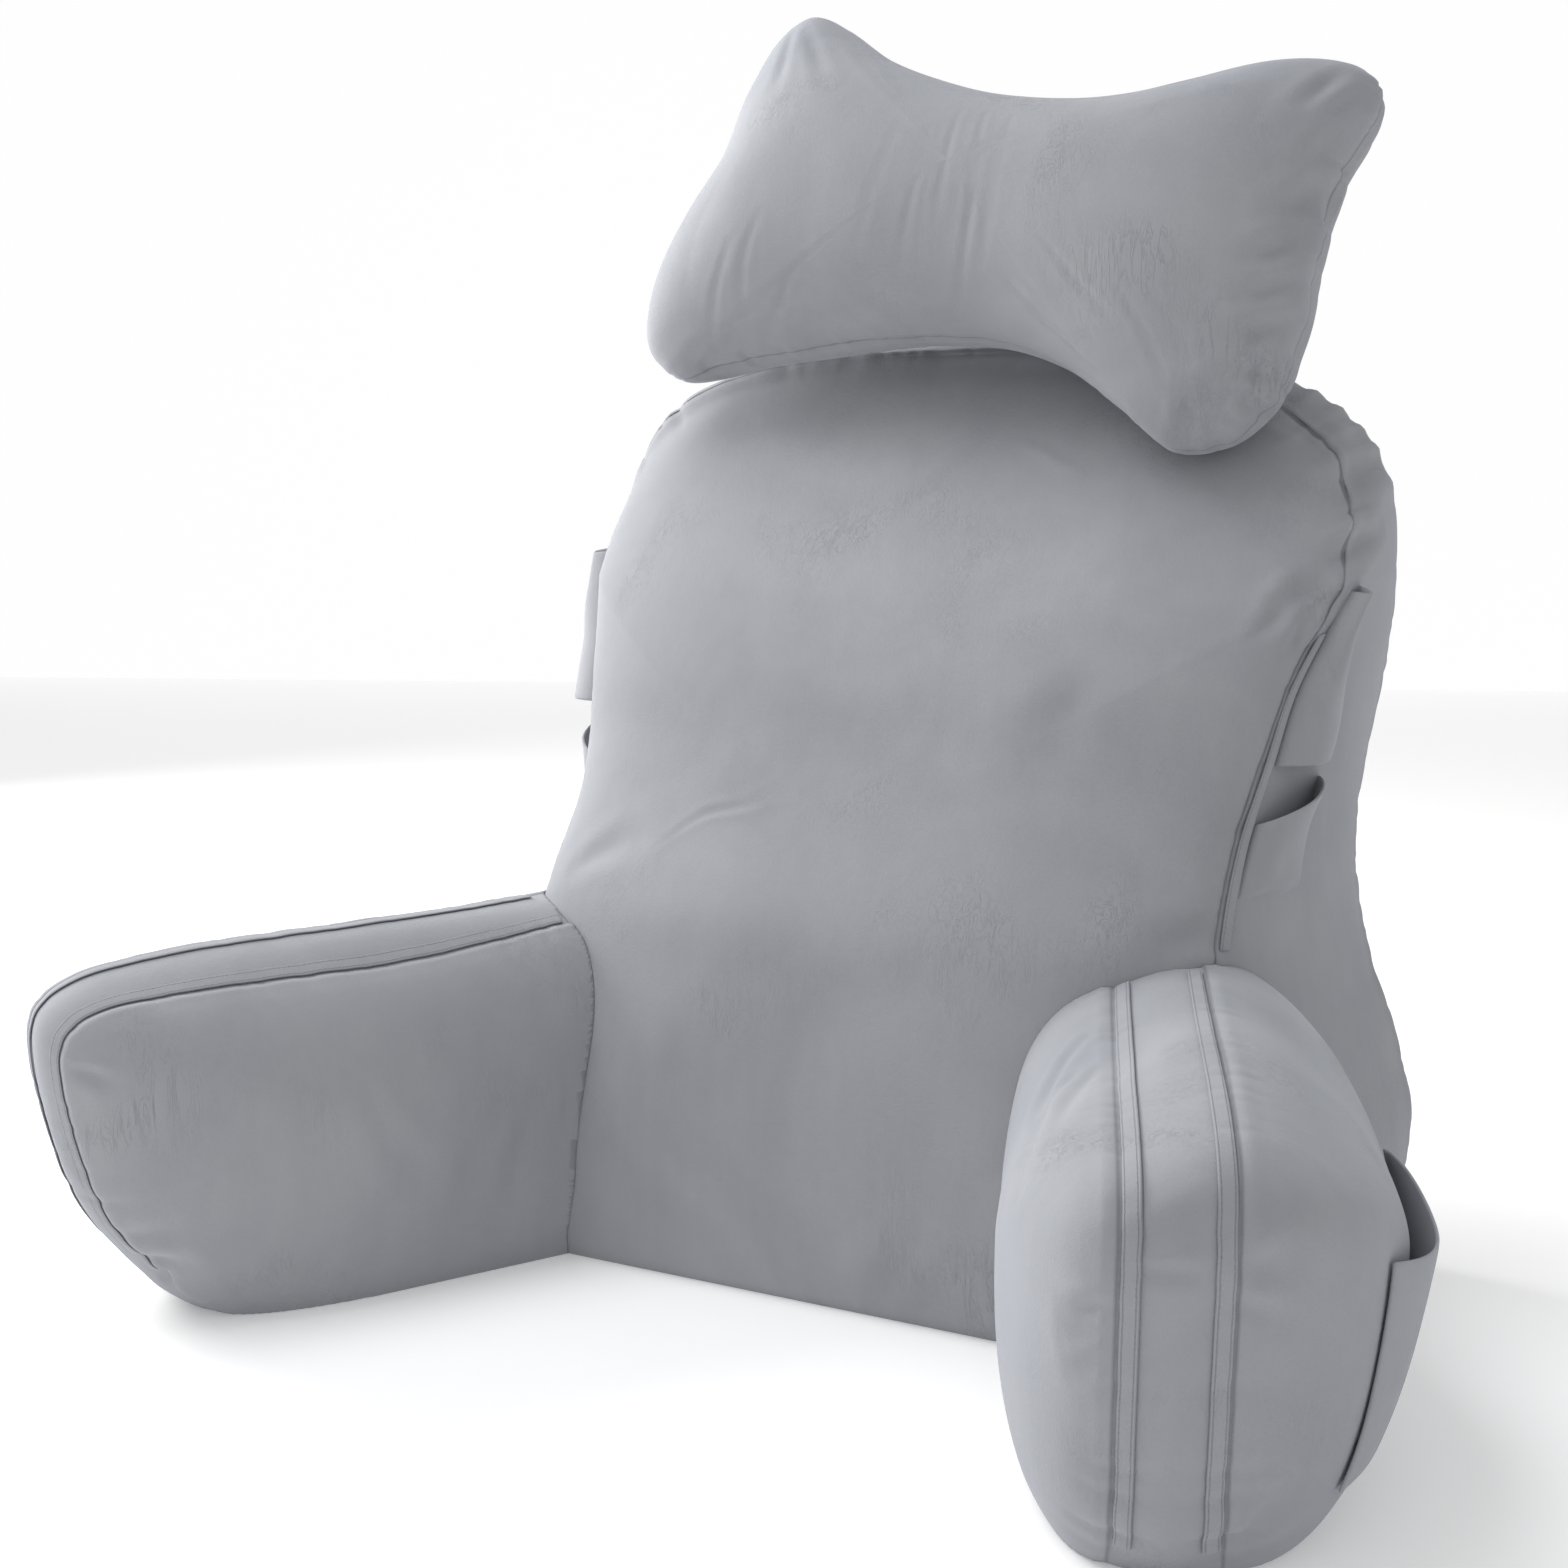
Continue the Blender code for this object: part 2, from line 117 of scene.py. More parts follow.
# Outline of the neck pillow in its own plane: across to the right and up from its centre
NECK_ROWS = [
    (-0.031, 0.085),
    (-0.088, 0.107),
    (-0.135, 0.139),
    (-0.164, 0.150),
    (-0.184, 0.132),
    (-0.200, 0.089),
    (-0.212, 0.037),
    (-0.238, -0.006),
    (-0.256, -0.050),
    (-0.256, -0.097),
    (-0.230, -0.118),
    (-0.186, -0.108),
    (-0.114, -0.096),
    (-0.041, -0.093),
    (0.021, -0.099),
    (0.072, -0.118),
    (0.112, -0.145),
    (0.150, -0.172),
    (0.190, -0.166),
    (0.217, -0.137),
    (0.230, -0.088),
    (0.232, -0.031),
    (0.240, 0.010),
    (0.255, 0.041),
    (0.255, 0.068),
    (0.230, 0.081),
    (0.193, 0.081),
    (0.135, 0.070),
    (0.078, 0.066),
    (0.021, 0.071),
]

# Creases of the back cushion: half width, depth (below nothing is a ridge), points in the row frame
BACK_CREASES = [
    (0.003, 0.0012, [
        (-0.134, 0.009, 0.272), (-0.103, 0.020, 0.295),
        (-0.070, 0.021, 0.305), (-0.029, 0.027, 0.324),
    ]),
    (0.004, -0.001, [(0.045, 0.176, 0.541), (0.075, 0.167, 0.530), (0.100, 0.158, 0.518)]),
    (0.016, 0.0022, [(0.146, 0.064, 0.386), (0.137, 0.056, 0.371), (0.128, 0.048, 0.352)]),
    (0.007, 0.005, [(0.241, 0.112, 0.425), (0.253, 0.126, 0.437), (0.267, 0.144, 0.446)]),
    (0.007, 0.0045, [(0.244, 0.124, 0.442), (0.256, 0.135, 0.448), (0.270, 0.152, 0.451)]),
    (0.006, 0.004, [(0.255, 0.123, 0.412), (0.261, 0.133, 0.429), (0.269, 0.147, 0.442)]),
    (0.009, 0.008, [
        (0.272, 0.290, 0.530), (0.268, 0.250, 0.528),
        (0.266, 0.215, 0.521), (0.262, 0.185, 0.503),
    ]),
    (0.008, 0.007, [
        (0.262, 0.290, 0.550), (0.258, 0.256, 0.546),
        (0.254, 0.235, 0.541), (0.244, 0.205, 0.533),
    ]),
    (0.008, 0.0065, [
        (0.250, 0.295, 0.565), (0.247, 0.265, 0.560),
        (0.241, 0.240, 0.555), (0.232, 0.210, 0.548),
    ]),
    (0.008, 0.006, [
        (0.234, 0.295, 0.580), (0.232, 0.262, 0.572),
        (0.228, 0.236, 0.564), (0.220, 0.208, 0.556),
    ]),
    (0.008, 0.005, [
        (0.214, 0.295, 0.590), (0.214, 0.262, 0.583),
        (0.212, 0.236, 0.576), (0.206, 0.208, 0.566),
    ]),
    (0.008, 0.006, [
        (0.284, 0.215, 0.484), (0.277, 0.185, 0.477),
        (0.271, 0.163, 0.467), (0.258, 0.142, 0.458),
    ]),
    (0.009, 0.0025, [(0.053, -0.036, 0.012), (0.065, -0.039, 0.026), (0.082, -0.040, 0.043)]),
    (0.009, 0.0025, [(0.084, -0.035, 0.010), (0.098, -0.039, 0.024), (0.115, -0.040, 0.037)]),
    (0.010, 0.0025, [(0.241, 0.055, 0.248), (0.230, 0.032, 0.245), (0.212, 0.015, 0.236)]),
    (0.010, 0.002, [(-0.201, 0.017, 0.252), (-0.180, 0.016, 0.266), (-0.154, 0.016, 0.275)]),
]

# Creases of the neck pillow's front face, in the same columns
NECK_CREASES = [
    (0.003, 0.0006, [
        (0.032, 0.147, 0.751), (0.038, 0.123, 0.692),
        (0.028, 0.135, 0.637), (0.014, 0.178, 0.611),
    ]),
    (0.003, 0.0005, [(0.052, 0.146, 0.747), (0.052, 0.126, 0.704), (0.047, 0.122, 0.654)]),
    (0.003, 0.0005, [(-0.023, 0.141, 0.750), (-0.034, 0.128, 0.709), (-0.044, 0.122, 0.671)]),
    (0.003, 0.0004, [(-0.003, 0.138, 0.741), (-0.006, 0.124, 0.695), (-0.015, 0.129, 0.651)]),
    (0.003, 0.0004, [(0.014, 0.148, 0.754), (0.015, 0.128, 0.713), (0.013, 0.123, 0.681)]),
    (0.003, 0.0008, [(-0.122, 0.129, 0.692), (-0.136, 0.122, 0.662), (-0.141, 0.123, 0.632)]),
    (0.003, 0.0008, [(-0.146, 0.129, 0.676), (-0.161, 0.124, 0.643), (-0.171, 0.131, 0.613)]),
    (0.003, 0.0007, [(-0.097, 0.121, 0.653), (-0.116, 0.132, 0.628), (-0.133, 0.158, 0.607)]),
    (0.003, 0.0008, [(0.064, 0.122, 0.640), (0.095, 0.116, 0.614), (0.125, 0.110, 0.597)]),
    (0.003, 0.0008, [(0.090, 0.116, 0.664), (0.120, 0.111, 0.631), (0.147, 0.112, 0.606)]),
    (0.003, 0.0008, [(0.142, 0.114, 0.631), (0.160, 0.113, 0.603), (0.172, 0.117, 0.572)]),
    (0.003, 0.0007, [(0.160, 0.118, 0.630), (0.179, 0.118, 0.605), (0.190, 0.120, 0.578)]),
    (0.006, 0.0035, [(0.252, 0.187, 0.764), (0.243, 0.177, 0.751), (0.234, 0.168, 0.734)]),
    (0.006, 0.0045, [(0.265, 0.198, 0.748), (0.253, 0.181, 0.738), (0.242, 0.174, 0.722)]),
    (0.006, 0.0045, [(0.264, 0.199, 0.730), (0.252, 0.186, 0.717), (0.244, 0.175, 0.698)]),
    (0.006, 0.0045, [(0.254, 0.195, 0.697), (0.244, 0.176, 0.687), (0.233, 0.161, 0.672)]),
    (0.006, 0.0045, [(0.243, 0.175, 0.665), (0.235, 0.158, 0.656), (0.222, 0.144, 0.643)]),
    (0.006, 0.0045, [(0.241, 0.163, 0.636), (0.232, 0.148, 0.629), (0.219, 0.137, 0.621)]),
    (0.006, 0.0045, [(0.239, 0.158, 0.610), (0.229, 0.143, 0.605), (0.217, 0.133, 0.596)]),
    (0.006, 0.0045, [(0.236, 0.159, 0.582), (0.226, 0.140, 0.580), (0.212, 0.131, 0.574)]),
    (0.006, 0.0050, [(0.226, 0.158, 0.553), (0.215, 0.142, 0.559), (0.205, 0.129, 0.566)]),
    (0.006, 0.0050, [(0.214, 0.158, 0.543), (0.209, 0.142, 0.550), (0.201, 0.128, 0.560)]),
    (0.006, 0.0045, [(0.192, 0.156, 0.537), (0.198, 0.133, 0.548), (0.195, 0.125, 0.563)]),
    (0.006, 0.0045, [(0.175, 0.138, 0.540), (0.184, 0.126, 0.552), (0.187, 0.121, 0.566)]),
    (0.005, 0.0015, [(-0.205, 0.167, 0.586), (-0.188, 0.152, 0.596), (-0.173, 0.144, 0.604)]),
    (0.004, 0.0012, [(-0.133, 0.197, 0.829), (-0.113, 0.175, 0.807), (-0.094, 0.160, 0.783)]),
    (0.004, 0.001, [(-0.148, 0.211, 0.831), (-0.138, 0.182, 0.804), (-0.132, 0.167, 0.777)]),
]

# Creases of the arms, in the same columns: -1 is the left arm and 1 the right
ARM_CREASES = {
    -1: [
        (0.010, 0.002, [(-0.179, -0.092, 0.112), (-0.187, -0.111, 0.082), (-0.196, -0.122, 0.041)]),
        (0.009, 0.0015, [(-0.221, -0.183, 0.145), (-0.212, -0.170, 0.112), (-0.200, -0.142, 0.069)]),
        (0.008, 0.0015, [(-0.169, -0.067, 0.121), (-0.175, -0.082, 0.084), (-0.182, -0.088, 0.041)]),
        (0.005, 0.0025, [(-0.310, -0.279, 0.042), (-0.298, -0.277, 0.043), (-0.286, -0.271, 0.044)]),
        (0.005, 0.0025, [(-0.311, -0.264, 0.025), (-0.294, -0.272, 0.036), (-0.284, -0.267, 0.040)]),
        (0.006, 0.002, [(-0.313, -0.292, 0.062), (-0.297, -0.288, 0.063), (-0.285, -0.280, 0.067)]),
        (0.005, 0.0025, [(-0.319, -0.320, 0.168), (-0.309, -0.316, 0.165), (-0.298, -0.308, 0.161)]),
        (0.006, 0.0015, [(-0.319, -0.318, 0.182), (-0.303, -0.310, 0.179), (-0.289, -0.297, 0.171)]),
    ],
    1: [
        (0.007, 0.002, [(0.340, -0.318, 0.180), (0.354, -0.314, 0.184), (0.369, -0.305, 0.185)]),
        (0.004, 0.0015, [(0.328, -0.322, 0.162), (0.346, -0.318, 0.163), (0.365, -0.309, 0.165)]),
        (0.005, 0.0025, [(0.323, -0.320, 0.148), (0.314, -0.318, 0.141), (0.299, -0.311, 0.133)]),
        (0.005, 0.0025, [(0.322, -0.317, 0.134), (0.313, -0.316, 0.128), (0.297, -0.308, 0.121)]),
        (0.005, 0.002, [(0.322, -0.315, 0.123), (0.313, -0.313, 0.115), (0.300, -0.307, 0.106)]),
        (0.006, 0.0025, [
            (0.209, -0.076, 0.206), (0.206, -0.101, 0.195),
            (0.209, -0.137, 0.182), (0.228, -0.191, 0.176),
        ]),
        (0.006, 0.002, [
            (0.223, -0.129, 0.196), (0.220, -0.154, 0.185),
            (0.237, -0.211, 0.177), (0.251, -0.252, 0.169),
        ]),
        (0.006, 0.002, [(0.238, -0.124, 0.203), (0.239, -0.161, 0.197), (0.252, -0.216, 0.191)]),
        (0.007, 0.002, [(0.374, -0.303, 0.170), (0.384, -0.294, 0.167), (0.394, -0.284, 0.168)]),
        (0.006, 0.0015, [(0.373, -0.300, 0.152), (0.382, -0.291, 0.146), (0.391, -0.280, 0.138)]),
        (0.008, 0.002, [(0.369, -0.262, 0.022), (0.378, -0.261, 0.036), (0.388, -0.252, 0.047)]),
    ],
}


# Curves and noise


def gone_along(line):
    """Distance gone at each point of a line, from 0 at its start."""
    return np.concatenate([[0.0], np.cumsum(np.linalg.norm(np.diff(line, axis=0), axis=1))])


def eased(place, knots, values):
    """Values at places on a smooth curve through the knots, which rise."""
    knots = np.asarray(knots, float)
    values = np.asarray(values, float)
    place = np.clip(place, knots[0], knots[-1])
    slopes = np.empty(len(knots))
    slopes[1:-1] = (values[2:] - values[:-2]) / (knots[2:] - knots[:-2])
    slopes[0] = (values[1] - values[0]) / (knots[1] - knots[0])
    slopes[-1] = (values[-1] - values[-2]) / (knots[-1] - knots[-2])
    cell = np.clip(np.searchsorted(knots, place, side="left") - 1, 0, len(knots) - 2)
    span = knots[cell + 1] - knots[cell]
    t = (place - knots[cell]) / span
    return (
        values[cell] * (1 + 2 * t) * (1 - t) ** 2
        + values[cell + 1] * t * t * (3 - 2 * t)
        + slopes[cell] * span * t * (1 - t) ** 2
        - slopes[cell + 1] * span * t * t * (1 - t)
    )


def rising(value, start, end):
    """0 up to start and 1 from end on, with an eased way between them."""
    part = np.clip((value - start) / (end - start), 0.0, 1.0)
    return part * part * (3.0 - 2.0 * part)


def crown(share, edge=2.4, roundness=0.55):
    """Height of a filled panel, 1 at its centre and 0 at its seam."""
    return np.maximum(0.0, 1.0 - np.minimum(share, 1.0) ** edge) ** roundness


def closed_curve(points, count):
    """Evenly spaced places on a smooth closed line, and the place of each given point along it."""
    points = np.asarray(points, float)
    around = np.vstack([points[-3:], points, points[:4]])
    knots = gone_along(around)
    knots -= knots[3]
    total = knots[3 + len(points)]
    fine = np.linspace(0.0, total, 6000)
    line = np.stack([eased(fine, knots, column) for column in around.T], -1)
    gone = gone_along(line)
    places = np.linspace(0.0, gone[-1], count, endpoint=False)
    even = np.stack([np.interp(places, gone, column) for column in line.T], -1)
    marks = np.interp(knots[3 : 3 + len(points)], fine, gone) / gone[-1] * count
    return even, marks


def wander(points, size, seed):
    """Smooth noise from -1 to 1 in space, with lumps of about the given size."""
    table = np.random.RandomState(seed).uniform(-1.0, 1.0, (32, 32, 32))
    scaled = np.asarray(points) / size + 100.0
    cell = np.floor(scaled).astype(int)
    part = scaled - cell
    part = part * part * (3.0 - 2.0 * part)
    total = 0.0
    for corner in np.ndindex(2, 2, 2):
        weight = 1.0
        for axis in range(3):
            share = part[..., axis]
            weight = weight * (share if corner[axis] else 1.0 - share)
        spot = [(cell[..., axis] + corner[axis]) % 32 for axis in range(3)]
        total = total + weight * table[spot[0], spot[1], spot[2]]
    return total


def ripple(places, size, seed):
    """Smooth noise from -1 to 1 along a line."""
    flat = np.zeros(np.shape(places) + (3,))
    flat[..., 0] = places
    flat[..., 1] = 0.37 * size
    return wander(flat, size, seed)


# Skins


def outward(rings):
    """Unit normals of a closed skin of rings, away from its middle."""
    around = np.roll(rings, -1, 1) - np.roll(rings, 1, 1)
    over = np.gradient(rings, axis=0)
    normal = np.cross(around, over)
    normal /= np.maximum(np.linalg.norm(normal, axis=2, keepdims=True), 1e-12)
    facing = np.einsum("rci,rci->rc", normal, rings - rings.mean((0, 1)))
    return normal if facing.mean() > 0 else -normal


def seam_distance(rings, seams):
    """How far each point lies from the nearest of the seam rings, over the skin."""
    steps = np.linalg.norm(np.diff(rings, axis=0), axis=2)
    gone = np.vstack([np.zeros(rings.shape[1]), np.cumsum(steps, axis=0)])
    return np.min([np.abs(gone - gone[seam]) for seam in seams], axis=0)


def line_distance(points, line):
    """Distance to a bent line, and how far along it the nearest place is, from 0 to 1."""
    line = np.asarray(line, float)
    best = np.full(points.shape[:-1], 1e9)
    place = np.zeros(points.shape[:-1])
    lengths = np.linalg.norm(np.diff(line, axis=0), axis=1)
    before = np.concatenate([[0.0], np.cumsum(lengths)])
    for i, length in enumerate(lengths):
        edge = line[i + 1] - line[i]
        t = np.clip(((points - line[i]) @ edge) / length**2, 0.0, 1.0)
        gap = np.linalg.norm(points - line[i] - t[..., None] * edge, axis=-1)
        nearer = gap < best
        best = np.where(nearer, gap, best)
        place = np.where(nearer, (before[i] + t * length) / before[-1], place)
    return best, place


def smooth_line(line):
    """More points on an eased way through a few."""
    line = np.asarray(line, float)
    knots = np.arange(len(line))
    fine = np.linspace(0, len(line) - 1, 4 * len(line))
    return np.stack([eased(fine, knots, column) for column in line.T], -1)


def creased(points, table):
    """Move inwards for a table of creases: a valley with a low ridge on each side, fading at its ends."""
    move = np.zeros(points.shape[:-1])
    for width, depth, line in table:
        gap, place = line_distance(points, smooth_line(line))
        fade = np.sin(np.pi * np.clip(place, 0.06, 0.94)) ** 0.6
        wide = width * (0.7 + 0.5 * place)
        valley = np.exp(-((gap / wide) ** 2))
        ridge = np.exp(-(((gap - 2.0 * wide) / wide) ** 2))
        move += depth * fade * (0.35 * ridge - valley)
    return move


def gathers(distance, along, reach, size, seed):
    """Move inwards for the small gathers that a seam pulls into the cloth beside it."""
    folds = (1.0 - np.abs(ripple(along, size, seed))) ** 3
    return -beside(distance, reach) * folds


def beside(distance, width):
    """1 on the seam, fading to nothing a little past the width."""
    return np.exp(-((distance / width) ** 2))


def lumps(points, table):
    """Slight unevenness of the filling, from rows of (height, size, seed)."""
    return sum(height * wander(points, size, seed) for height, size, seed in table)


def near(points, centre, radius):
    """1 at a place, fading to nothing a little past the radius."""
    gap = np.linalg.norm(points - np.asarray(centre), axis=-1)
    return np.exp(-((gap / radius) ** 2))


def skin(name, rings, distance, material):
    """A closed cushion skin: the rings of a ball are moved to the cushion's rings of points."""
    ring_count, columns = rings.shape[:2]
    bm = bmesh.new()
    bmesh.ops.create_uvsphere(bm, u_segments=columns, v_segments=ring_count + 1, radius=1.0)
    mesh = bpy.data.meshes.new(name)
    bm.to_mesh(mesh)
    bm.free()
    ball = np.empty(len(mesh.vertices) * 3, np.float32)
    mesh.vertices.foreach_get("co", ball)
    ball = ball.reshape(-1, 3)
    row = np.rint(np.arccos(np.clip(ball[:, 2], -1, 1)) * (ring_count + 1) / math.pi).astype(int)
    turn = np.arctan2(ball[:, 1], ball[:, 0]) / (2 * math.pi)
    column = np.rint(turn * columns).astype(int) % columns
    row = np.clip(row, 0, ring_count + 1)
    whole = np.concatenate([
        np.repeat(rings[:1].mean(1, keepdims=True), columns, 1),
        rings,
        np.repeat(rings[-1:].mean(1, keepdims=True), columns, 1),
    ])
    places = whole[row, column]
    mesh.vertices.foreach_set("co", places.astype(np.float32).ravel())
    spread = np.concatenate([distance[:1], distance, distance[-1:]])[row, column]
    mark = mesh.attributes.new("seam", "FLOAT", "POINT")
    mark.data.foreach_set("value", spread.astype(np.float32))
    mesh.materials.append(material)
    mesh.shade_smooth()
    mesh.update()
    turned_right_way_out(mesh)
    piece = bpy.data.objects.new(name, mesh)
    bpy.context.scene.collection.objects.link(piece)
    return piece


def turned_right_way_out(mesh):
    bm = bmesh.new()
    bm.from_mesh(mesh)
    if bm.calc_volume(signed=True) < 0:
        bmesh.ops.reverse_faces(bm, faces=bm.faces[:])
    bm.to_mesh(mesh)
    bm.free()


def cloth_sheet(name, points, thickness, material, outwards):
    """A sheet of cloth from rows of points on its outer side, with a soft rounded edge."""
    rows, columns = points.shape[:2]
    bm = bmesh.new()
    bmesh.ops.create_grid(bm, x_segments=columns - 1, y_segments=rows - 1, size=1.0, calc_uvs=True)
    bm.verts.ensure_lookup_table()
    across = gone_along(points[rows // 2])
    along = gone_along(points[:, columns // 2])
    spot = {}
    for vert in bm.verts:
        i = round((vert.co.y + 1) / 2 * (rows - 1))
        j = round((vert.co.x + 1) / 2 * (columns - 1))
        spot[vert.index] = (i, j)
        vert.co = points[i, j]
    uv = bm.loops.layers.uv.verify()
    for face in bm.faces:
        for loop in face.loops:
            i, j = spot[loop.vert.index]
            loop[uv].uv = (along[i], across[j])
    bm.normal_update()
    facing = sum((face.normal for face in bm.faces), Vector())
    if facing.dot(Vector(outwards)) < 0:
        bmesh.ops.reverse_faces(bm, faces=bm.faces[:])
    mesh = bpy.data.meshes.new(name)
    bm.to_mesh(mesh)
    bm.free()
    mesh.materials.append(material)
    mesh.shade_smooth()
    piece = bpy.data.objects.new(name, mesh)
    bpy.context.scene.collection.objects.link(piece)
    solid = piece.modifiers.new("thickness", "SOLIDIFY")
    solid.thickness = thickness
    solid.offset = -1.0
    soft = piece.modifiers.new("soft_edge", "SUBSURF")
    soft.levels = soft.render_levels = 1
    return piece


def applied(piece):
    """The piece's own mesh becomes what its modifiers make of it."""
    graph = bpy.context.evaluated_depsgraph_get()
    mesh = bpy.data.meshes.new_from_object(piece.evaluated_get(graph), depsgraph=graph)
    piece.modifiers.clear()
    piece.data = mesh
    return piece


def cut_clear(piece, cutter):
    modifier = piece.modifiers.new("clear", "BOOLEAN")
    modifier.operation = "DIFFERENCE"
    modifier.solver = "MANIFOLD"
    modifier.object = cutter
    applied(piece)


def pressed(piece, against, gap):
    """Cloth that would lie inside a neighbour is pushed onto its surface."""
    tree = BVHTree.FromPolygons(
        [vert.co for vert in against.data.vertices],
        [face.vertices for face in against.data.polygons],
    )
    for vert in piece.data.vertices:
        place, normal, _, _ = tree.find_nearest(vert.co)
        if (vert.co - place).dot(normal) < gap:
            vert.co = place + normal * gap


# Back cushion


def back_value(height, name):
    rows = np.array(BACK_ROWS)
    return eased(height, rows[:, 0], rows[:, BACK_COLUMNS.index(name)])


def back_outline(which):
    """Closed outline of the front or the rear seam, as (across, height)."""
    right = [(share * float(back_value(0.0, which)), -SETTLE) for share in (0.0, 0.35, 0.7, 0.93)]
    for height in (0.012, 0.05, 0.10, 0.15, 0.20, 0.25, 0.30, 0.35, 0.40, 0.44):
        right.append((float(back_value(height, which)), height))
    arch_half = float(back_value(SHOULDER, which))
    steps = 10
    for step in range(steps):
        angle = math.radians(90.0) * (step / steps) ** 0.9
        across = arch_half * math.cos(angle) ** (2 / ARCH_POWER)
        rise = (BACK_TOP - SHOULDER) * math.sin(angle) ** (2 / ARCH_POWER)
        right.append((across, SHOULDER + rise))
    left = [(-across, height) for across, height in reversed(right[1:])]
    fuller = []
    for across, height in left:
        if height > SHOULDER:
            angle = math.atan2((height - SHOULDER) / (BACK_TOP - SHOULDER), -across / arch_half)
            total = math.cos(angle) ** LEFT_ARCH_POWER + math.sin(angle) ** LEFT_ARCH_POWER
            reach = total ** (-1 / LEFT_ARCH_POWER)
            across = -arch_half * reach * math.cos(angle)
            height = SHOULDER + (BACK_TOP - SHOULDER) * reach * math.sin(angle)
        fuller.append((across, height))
    return right + [(0.0, BACK_TOP)] + fuller


def back_panel_ring(seam, share, which):
    across = seam[:, 0] * share
    height = BACK_CENTRE + (seam[:, 1] - BACK_CENTRE) * share
    if which == "front":
        depth = back_value(height, "front_y") - FRONT_CROWN * crown(share)
    else:
        depth = back_value(height, "rear_y") + REAR_CROWN * crown(share)
    return np.stack([across, depth, height], -1)


def back_gusset_ring(front, rear, step):
    start = np.stack([front[:, 0], back_value(front[:, 1], "front_y"), front[:, 1]], -1)
    end = np.stack([rear[:, 0], back_value(rear[:, 1], "rear_y"), rear[:, 1]], -1)
    away = np.stack([front[:, 0], np.zeros(len(front)), front[:, 1] - BACK_CENTRE], -1)
    away /= np.linalg.norm(away, axis=1, keepdims=True)
    swell = GUSSET_BULGE * np.sin(np.pi * step) ** 0.7 * rising(front[:, 1], -0.002, 0.02)
    return start + (end - start) * step + away * swell[:, None]


def eased_steps(count, thin):
    """Shares from 0 to 1, closer together towards 1."""
    t = np.arange(1, count + 1) / count
    return t * (1.0 + thin * (1.0 - t))


BACK_SKIN = (560, 76, 36, 34)


def back_rings():
    columns, front_count, gusset_count, rear_count = BACK_SKIN
    outline = np.hstack([back_outline("front_half"), back_outline("rear_half")])
    seams, _ = closed_curve(outline, columns)
    front, rear = seams[:, :2], seams[:, 2:]
    rings = [back_panel_ring(front, share, "front") for share in eased_steps(front_count, 0.7)]
    steps = (1 - np.cos(np.pi * np.arange(1, gusset_count) / gusset_count)) / 2
    rings += [back_gusset_ring(front, rear, step) for step in steps]
    rings += [back_panel_ring(rear, share, "rear") for share in eased_steps(rear_count, 0.6)[::-1]]
    rings = np.array(rings)
    rings[..., 1] -= MIDDLE_Y
    return rings, (front_count - 1, front_count - 1 + gusset_count)


def settled(rings):
    rings[..., 2] = np.maximum(rings[..., 2], 0.0)
    return rings


# Rows of (gather depth, reach, size, seed), of (move, width) beside a seam, and of (height, size, seed)
BACK_GATHERS = (0.0006, 0.024, 0.022, 3)
BACK_FINE_GATHERS = (0.0012, 0.012, 0.011, 5)
SHOULDER_GATHER = 0.0050
SHOULDER_PLACE = (0.262, 0.235, 0.545)
SHOULDER_REACH = {"right": 0.075, "left": 0.06}
BACK_ROLL = (0.0020, 0.007)
BACK_GROOVE = (0.0016, 0.0026)
TOP_ROLL = (0.0075, 0.012)
TOP_FADE = 0.8
TOP_SEAM_SHIFT = 0.004
TOP_START, TOP_END = 0.50, 0.56
TOP_RIGHT_START, TOP_RIGHT_END = 0.17, 0.22
BACK_LUMPS = ((0.0025, 0.19, 11), (0.0002, 0.05, 12))
# The underside stays flat: moves start this far above the floor and are full from the second height on
FLAT_HEIGHT, FREE_HEIGHT = 0.002, 0.02


def shaped_back():
    rings, seams = back_rings()
    settled(rings)
    distance = seam_distance(rings, seams)
    along = gone_along(rings[seams[0]])[None, :]
    points = rings.copy()
    move = creased(points, BACK_CREASES)
    mirrored = (-SHOULDER_PLACE[0], *SHOULDER_PLACE[1:])
    shoulder = near(points, SHOULDER_PLACE, SHOULDER_REACH["right"])
    shoulder = shoulder + 0.5 * near(points, mirrored, SHOULDER_REACH["left"])
    depth, *sizes = BACK_GATHERS
    move += (depth + SHOULDER_GATHER * shoulder) * gathers(distance, along, *sizes)
    depth, *sizes = BACK_FINE_GATHERS
    move += depth * gathers(distance, along, *sizes)
    # Along the top, left of the right shoulder, the front panel rolls over and its seam doesn't show
    left_of_shoulder = 1.0 - rising(points[..., 0], TOP_RIGHT_START, TOP_RIGHT_END)
    hidden = rising(points[..., 2], TOP_START, TOP_END) * left_of_shoulder
    move += BACK_ROLL[0] * beside(distance, BACK_ROLL[1])
    move -= BACK_GROOVE[0] * (1.0 - TOP_FADE * hidden) * beside(distance, BACK_GROOVE[1])
    move += TOP_ROLL[0] * hidden * beside(distance, TOP_ROLL[1])
    distance = distance + TOP_SEAM_SHIFT * hidden
    move += lumps(points, BACK_LUMPS)
    raised = rising(points[..., 2], FLAT_HEIGHT, FREE_HEIGHT)
    points += outward(rings) * (move * raised)[..., None]
    return settled(points), distance


# Arms


